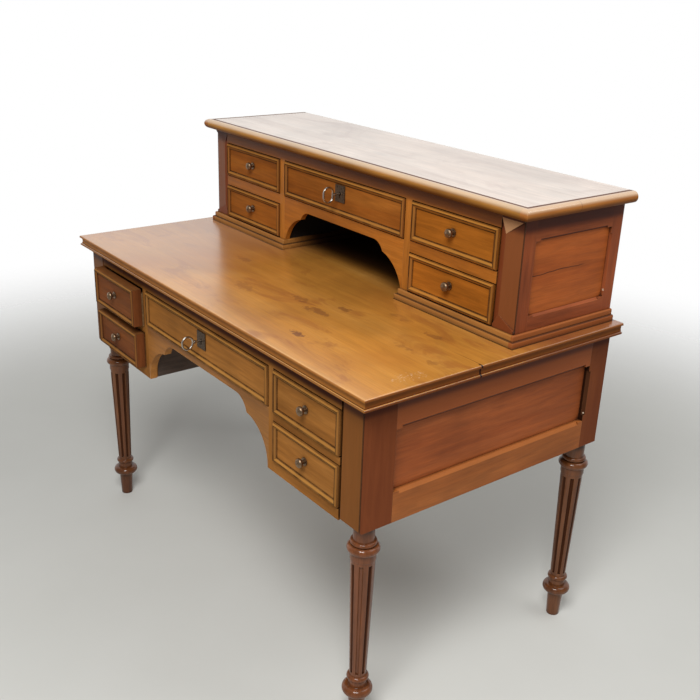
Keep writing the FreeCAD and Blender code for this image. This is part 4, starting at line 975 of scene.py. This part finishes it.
def nosing_marks(shader, place, colour, depth):
    """Redder wood at the ends, a painted highlight above, painted shade below, and the joints of the
    moulding.
    """
    _, y, z = shader.split(place)
    ends = shader.above(shader.sideways(place), BOARD_HIGH[0])
    colour = shader.paint(colour, RUDDY.middle, ends, NOSING_END_SHARE)
    # Painted highlight above and painted shade below
    colour = shader.paint(colour, NOSING_HIGHLIGHT, shader.fade(z, *NOSING_HIGHLIGHT_SPAN), NOSING_HIGHLIGHT_SHARE)
    colour = shader.paint(colour, NOSING.dark, shader.fall(z, *NOSING_SHADE_SPAN), NOSING_SHADE_SHARE)
    joint = shader.all_of(shader.line(y, NOSING_JOINT_Y, NOSING_JOINT_HALF), NOSING_JOINT_SHARE)
    groove = nosing_groove(shader, place)
    return shader.mix(shader.any_of(joint, groove), colour, QUIRK), shader.minus(depth, groove)


def polished_nosing(shader, place, coat):
    """The upper side of the moulding is polished by hands, up to the grimy joint."""
    z = shader.split(place)[2]
    clean = shader.without(nosing_groove(shader, place))
    return shader.all_of(shader.fade(z, *NOSING_POLISH), clean, coat)


# Back boards: their planks, the joints between them and the painted shade inside
GRADIN_PLANK = 0.128
DESK_PLANK = 0.132
PLANK_JOINT_AT = 0.5
PLANK_JOINT_HALF = 0.008
PLANK_JOINT_SHARE = 0.8
INNER_FACE_DEPTH = 0.001
INNER_FACE_SHADE = 0.85


def planks(node, pitch):
    """Joints between the planks of a back board, and painted shade on its inner face."""
    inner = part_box(node)[0][1]

    def marks(shader, place, colour, depth):
        _, y, z = shader.split(place)
        share = shader.math("FRACT", shader.math("DIVIDE", z, pitch))
        joint = shader.line(share, PLANK_JOINT_AT, PLANK_JOINT_HALF)
        colour = shader.paint(colour, GRIME_AND_SHADE, joint, PLANK_JOINT_SHARE)
        # Painted shade on the inner face
        colour = shader.paint(colour, GRIME_AND_SHADE, shader.below(y, inner + INNER_FACE_DEPTH), INNER_FACE_SHADE)
        return colour, shader.minus(depth, joint)

    return marks


def wall_marks(shader, place, colour, depth):
    """The back ends of the kneehole walls were left raw."""
    return shader.mix(shader.facing("Y"), colour, RAW.middle), depth


# Metal: tarnish in corners and in spots, fine scratches, and bumps
METAL_EDGE = 0.0006
METAL_CORNER_REACH = 0.006
METAL_CORNER_OPEN = (0.35, 0.85)
METAL_CORNER_SHARE = 0.85
MOTTLE = Noise(260.0, 4.0, 0.6)
MOTTLE_SPAN = (0.45, 0.70)
MOTTLE_SHARE = 0.55
TARNISH_ROUGHNESS = 0.22
SCRATCH = Noise(900.0, 2.0)
SCRATCH_GRAIN = ("X", 0.15, 1.0)
SCRATCH_SPAN = (0.3, 0.7)
SCRATCH_ROUGHNESS = (-0.04, 0.06)
METAL_BUMP = 0.15
METAL_BUMP_HEIGHT = 0.0003


def metal(name, colour, tarnish, roughness, metallic=1.0, pitted=0.0):
    """Worn metal: bright where it is handled, dark in its corners."""
    shader = Shader(name)
    place = shader.position()
    mottle = shader.noise(place, MOTTLE)
    scratch = shader.noise(shader.stretched(place, *SCRATCH_GRAIN), SCRATCH)
    in_corner = shader.all_of(
        shader.fall(shader.openness(METAL_CORNER_REACH), *METAL_CORNER_OPEN), METAL_CORNER_SHARE)
    dull = shader.any_of(in_corner, shader.fade(mottle, *MOTTLE_SPAN, 0.0, MOTTLE_SHARE + pitted))
    shader.set("Base Color", shader.mix(dull, srgb(*colour), srgb(*tarnish)))
    rough = shader.plus(shader.all_of(dull, TARNISH_ROUGHNESS), roughness)
    rough = shader.plus(rough, shader.fade(scratch, *SCRATCH_SPAN, *SCRATCH_ROUGHNESS))
    shader.set("Roughness", rough)
    shader.set("Metallic", metallic)
    shader.relief(mottle, METAL_BUMP + pitted, METAL_BUMP_HEIGHT, shader.bevelled(METAL_EDGE))
    return shader.material


def dress(node, material):
    """Gives a node of the frame its material."""
    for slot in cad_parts[node].material_slots:
        slot.link = "OBJECT"
        slot.material = material


# Seeds of what is dressed in a loop
LEG_SEED = 3.0
SIDE_SEED = 8.0
SIDE_SEED_STEP = 5.0
DRAWER_SEED = 40.0
DRAWER_SEED_STEP = 2.0

SMALL_DRAWERS = [
    f"{part}_{hand}_{row}_drawer"
    for part in ("desk", "gradin") for hand in ("left", "right") for row in ("upper", "lower")
]
LOCKED_DRAWERS = ["desk_centre_drawer", "gradin_centre_drawer"]

# Tones of the drawer fronts by how their names start; the first that fits counts. The darker tones of the
# drawers further left are painted shade
DRAWER_TONES_WITH_SHADE = [("gradin_right", HONEY), ("gradin", SHADED_AMBER), ("desk_left", SHADED_BROWN), ("desk", GOLDEN)]


def dress_boards():
    """Wood for the boards of the carcass that come once. A row holds a node and what wood() takes."""
    along, deep = straight("X"), straight("Y")
    desk_frame = joined("X", "Z", stiles(KNEEHOLE_HALF, STILE_OUT, DRAWERS_TOP))
    gradin_frame = joined("X", "Z", stiles(PIGEONHOLE_HALF, GRADIN_STILE_OUT, GRADIN_DRAWERS_TOP))
    plinth = joined("X", "Y", returns(GRADIN_HALF))
    nosing = joined("X", "Y", returns(BOARD_HIGH[0]))
    under_slab = shaded_under(SLAB_BOTTOM, *FRONT_RAIL_SHADE)
    under_roof = shaded_under(GRADIN_ROOF, *GRADIN_RAIL_SHADE)
    gradin_planks = planks("gradin_back_board", GRADIN_PLANK)
    desk_planks = planks("desk_back_boards", DESK_PLANK)
    rows = [
        ("desk_top", "desk_top_wood", TOP, TABLE, 1.0, along, table_marks, polished_table),
        ("gradin_top_board", "gradin_top_wood", BLEACHED_AND_GLARE, POLISH, 2.0, along, board_marks, polished_board),
        ("gradin_side_panels", "gradin_panel_wood", ORANGE, VARNISH, 19.0, deep, cracked_panel),
        ("desk_front_frame", "desk_frame_wood", GOLDEN, MATT, 20.0, desk_frame, under_slab),
        ("gradin_front_frame", "gradin_frame_wood", HONEY, VARNISH, 21.0, gradin_frame, under_roof),
        ("kneehole_apron", "kneehole_apron_wood", GOLDEN, VARNISH, 22.0, along),
        ("pigeonhole_apron", "pigeonhole_apron_wood", HONEY, VARNISH, 23.0, along),
        ("gradin_plinth", "plinth_wood", GOLDEN, VARNISH, 24.0, plinth, plinth_marks),
        ("gradin_top_moulding", "nosing_wood", NOSING, RUBBED, 25.0, nosing, nosing_marks, polished_nosing),
        ("kneehole_walls", "kneehole_wall_wood", KNEEHOLE_SHADE, BARE, 26.0, deep, wall_marks),
        ("gradin_inner_boards", "gradin_inner_wood", SHADED, BARE, 27.0, along),
        ("gradin_back_board", "gradin_back_board_wood", RAW, BARE, 28.0, along, gradin_planks),
        ("desk_back_boards", "desk_back_boards_wood", RAW, BARE, 29.0, along, desk_planks),
        ("desk_drawer_runners", "runner_wood", RAW, BARE, 30.0, deep),
    ]
    for node, *values in rows:
        dress(node, wood(*values))


def dress_legs():
    """The right front leg is lit, and the others get a darker copy of its tone as painted shade; only the
    right front leg's flutes over the corners get no painted shade.
    """
    for index, (corner, axis) in enumerate(LEG_AXES.items()):
        lit_leg = corner == "right_front"
        tone = LEG if lit_leg else SHADED_LEG
        diagonal = 0.0 if lit_leg else 1.0
        marks = leg_marks(axis, diagonal)
        coated = polished_leg(axis, diagonal)
        leg_wood = wood(f"{corner}_leg_wood", tone, GLOSS, LEG_SEED + index, straight("Z"), marks, coated)
        dress(f"{corner}_leg", leg_wood)


def dress_sides():
    """The rails and panels of the desk's sides, and the frames of the gradin's sides."""
    deep = straight("Y")
    under_rail = shaded_under(SIDE_RAIL_EDGE, *PANEL_SHADE)
    frame_grain = joined("Y", "Z", gradin_uprights)
    for index, hand in enumerate(("left", "right")):
        seed = SIDE_SEED + SIDE_SEED_STEP * index
        rail_wood = wood(f"desk_{hand}_rail_wood", RAIL, VARNISH, seed, deep, side_rail_marks)
        dress(f"desk_{hand}_side_rails", rail_wood)
        panel_wood = wood(f"desk_{hand}_panel_wood", RUDDY, VARNISH, seed + 1, deep, under_rail)
        dress(f"desk_{hand}_side_panel", panel_wood)
        node = f"gradin_{hand}_side_frame"
        dress(node, wood(f"{node}_wood", MAROON, VARNISH, seed + 2, frame_grain, gradin_post_marks))


def dress_drawers():
    """Wood for the drawers, and metal for their knobs, locks and keys."""
    brass = metal("aged_brass", colour=(144, 118, 92), tarnish=(58, 44, 34), roughness=0.40)
    iron = metal(
        "dark_iron", colour=(92, 74, 56), tarnish=(40, 28, 20), roughness=0.48, metallic=0.85, pitted=0.15)
    steel = metal("worn_steel", colour=(190, 184, 174), tarnish=(96, 88, 78), roughness=0.24)
    box_wood = wood("drawer_box_wood", RAW, BARE, 31.0, straight("Y"))
    for index, name in enumerate(SMALL_DRAWERS + LOCKED_DRAWERS):
        front = f"{name}_front"
        tone = next(tone for start, tone in DRAWER_TONES_WITH_SHADE if name.startswith(start))
        seed = DRAWER_SEED + DRAWER_SEED_STEP * index
        grain = joined("X", "Z", rim_sides(front))
        dress(front, wood(f"{front}_wood", tone, MATT, seed, grain, rim_marks(front)))
        dress(f"{name}_box", box_wood)
    for name in SMALL_DRAWERS:
        dress(f"{name}_knob", brass)
    for name in LOCKED_DRAWERS:
        for part in ("lock_plate", "lock_case", "lock_bolt"):
            dress(f"{name}_{part}", iron)
        dress(f"{name}_key", steel)


# Floor: half its width, where it fades out, and its look
FLOOR_HALF = 9.0
FLOOR_FADE = (1.3, 2.9)
FLOOR_MOTTLE = Noise(1.7, 5.0, 0.6)
FLOOR_DARK = srgb(208, 208, 202)
FLOOR_LIGHT = srgb(220, 220, 215)
FLOOR_ROUGHNESS = 0.7


def add_floor():
    """A pale floor that fades out round the desk."""
    mesh = bpy.data.meshes.new("floor")
    corners = [(FLOOR_HALF * x, FLOOR_HALF * y, 0) for x, y in ((-1, -1), (1, -1), (1, 1), (-1, 1))]
    mesh.from_pydata(corners, [], [(0, 1, 2, 3)])
    floor = bpy.data.objects.new("floor", mesh)
    bpy.context.collection.objects.link(floor)
    shader = Shader("pale_floor")
    place = shader.position()
    shader.set("Base Color", shader.mix(shader.noise(place, FLOOR_MOTTLE), FLOOR_DARK, FLOOR_LIGHT))
    shader.set("Roughness", FLOOR_ROUGHNESS)
    far = shader.fade(shader.measure("LENGTH", place), *FLOOR_FADE)
    clear = shader.node("ShaderNodeBsdfTransparent").outputs[0]
    blend = shader.node("ShaderNodeMixShader", {0: far, 1: shader.surface.outputs["BSDF"], 2: clear})
    shader.feed(shader.output.inputs["Surface"], blend.outputs[0])
    mesh.materials.append(shader.material)


# Lamps: where they hang, what they point at, how wide they are and their power
LAMPS = {
    "key": ((1.5, -1.6, 3.0), (0, 0, 0.6), 1.4, 82),
    "fill": ((1.6, 1.4, 3.4), (0, 0, 0.5), 1.8, 24),
}

# White backdrop: the side it stands on, and how bright it is in reflections and as light
BACKDROP_SIDE = (-0.80, 0.60, 0.0)
BACKDROP_TURN = (-0.1, 0.5)
REFLECTED_FRONT = 0.22
ROOM_LEVEL = 0.33
WHITE = (1.0, 1.0, 1.0, 1.0)

# Camera: lens and sensor in millimetres, place in metres, angles in degrees
CAMERA_LENS = 48.5
CAMERA_SENSOR = 36.0
CAMERA_PLACE = (1.7292, -1.2538, 1.4499)
CAMERA_ANGLES = (67.752, -1.925, 52.612)


def add_lamp(name, place, aim, width, power):
    """A square lamp that isn't seen itself."""
    light = bpy.data.lights.new(name, "AREA")
    light.shape = "SQUARE"
    light.size = width
    light.energy = power
    lamp = bpy.data.objects.new(name, light)
    lamp.location = place
    lamp.rotation_euler = (Vector(aim) - Vector(place)).to_track_quat("-Z", "Y").to_euler()
    lamp.visible_camera = False
    bpy.context.collection.objects.link(lamp)


def add_light():
    """A soft studio: a white backdrop behind the desk, dimmer towards the front, and two large lamps."""
    world = bpy.data.worlds.new("studio")
    world.use_nodes = True
    sky = Nodes(world.node_tree)
    background = sky.tree.nodes["Background"]
    rays = sky.node("ShaderNodeLightPath").outputs
    direction = sky.node("ShaderNodeTexCoord").outputs["Generated"]
    towards = sky.measure("DOT_PRODUCT", direction, BACKDROP_SIDE)
    reflected = sky.fade(towards, *BACKDROP_TURN, REFLECTED_FRONT, 1.0)
    mirrored = sky.all_of(reflected, sky.any_of(rays["Is Glossy Ray"], rays["Is Transmission Ray"]))
    diffuse = sky.all_of(rays["Is Diffuse Ray"], ROOM_LEVEL)
    sky.feed(background.inputs["Strength"], sky.any_of(rays["Is Camera Ray"], mirrored, diffuse))
    sky.feed(background.inputs["Color"], WHITE)
    bpy.context.scene.world = world
    for name, values in LAMPS.items():
        add_lamp(name, *values)


def add_camera():
    """The camera of the main view."""
    camera = bpy.data.cameras.new("camera")
    camera.lens = CAMERA_LENS
    camera.sensor_width = CAMERA_SENSOR
    eye = bpy.data.objects.new("camera", camera)
    eye.location = CAMERA_PLACE
    eye.rotation_euler = [math.radians(angle) for angle in CAMERA_ANGLES]
    bpy.context.collection.objects.link(eye)
    bpy.context.scene.camera = eye


dress_boards()
dress_legs()
dress_sides()
dress_drawers()
add_floor()
add_light()
add_camera()
bpy.context.scene.view_settings.view_transform = "Standard"
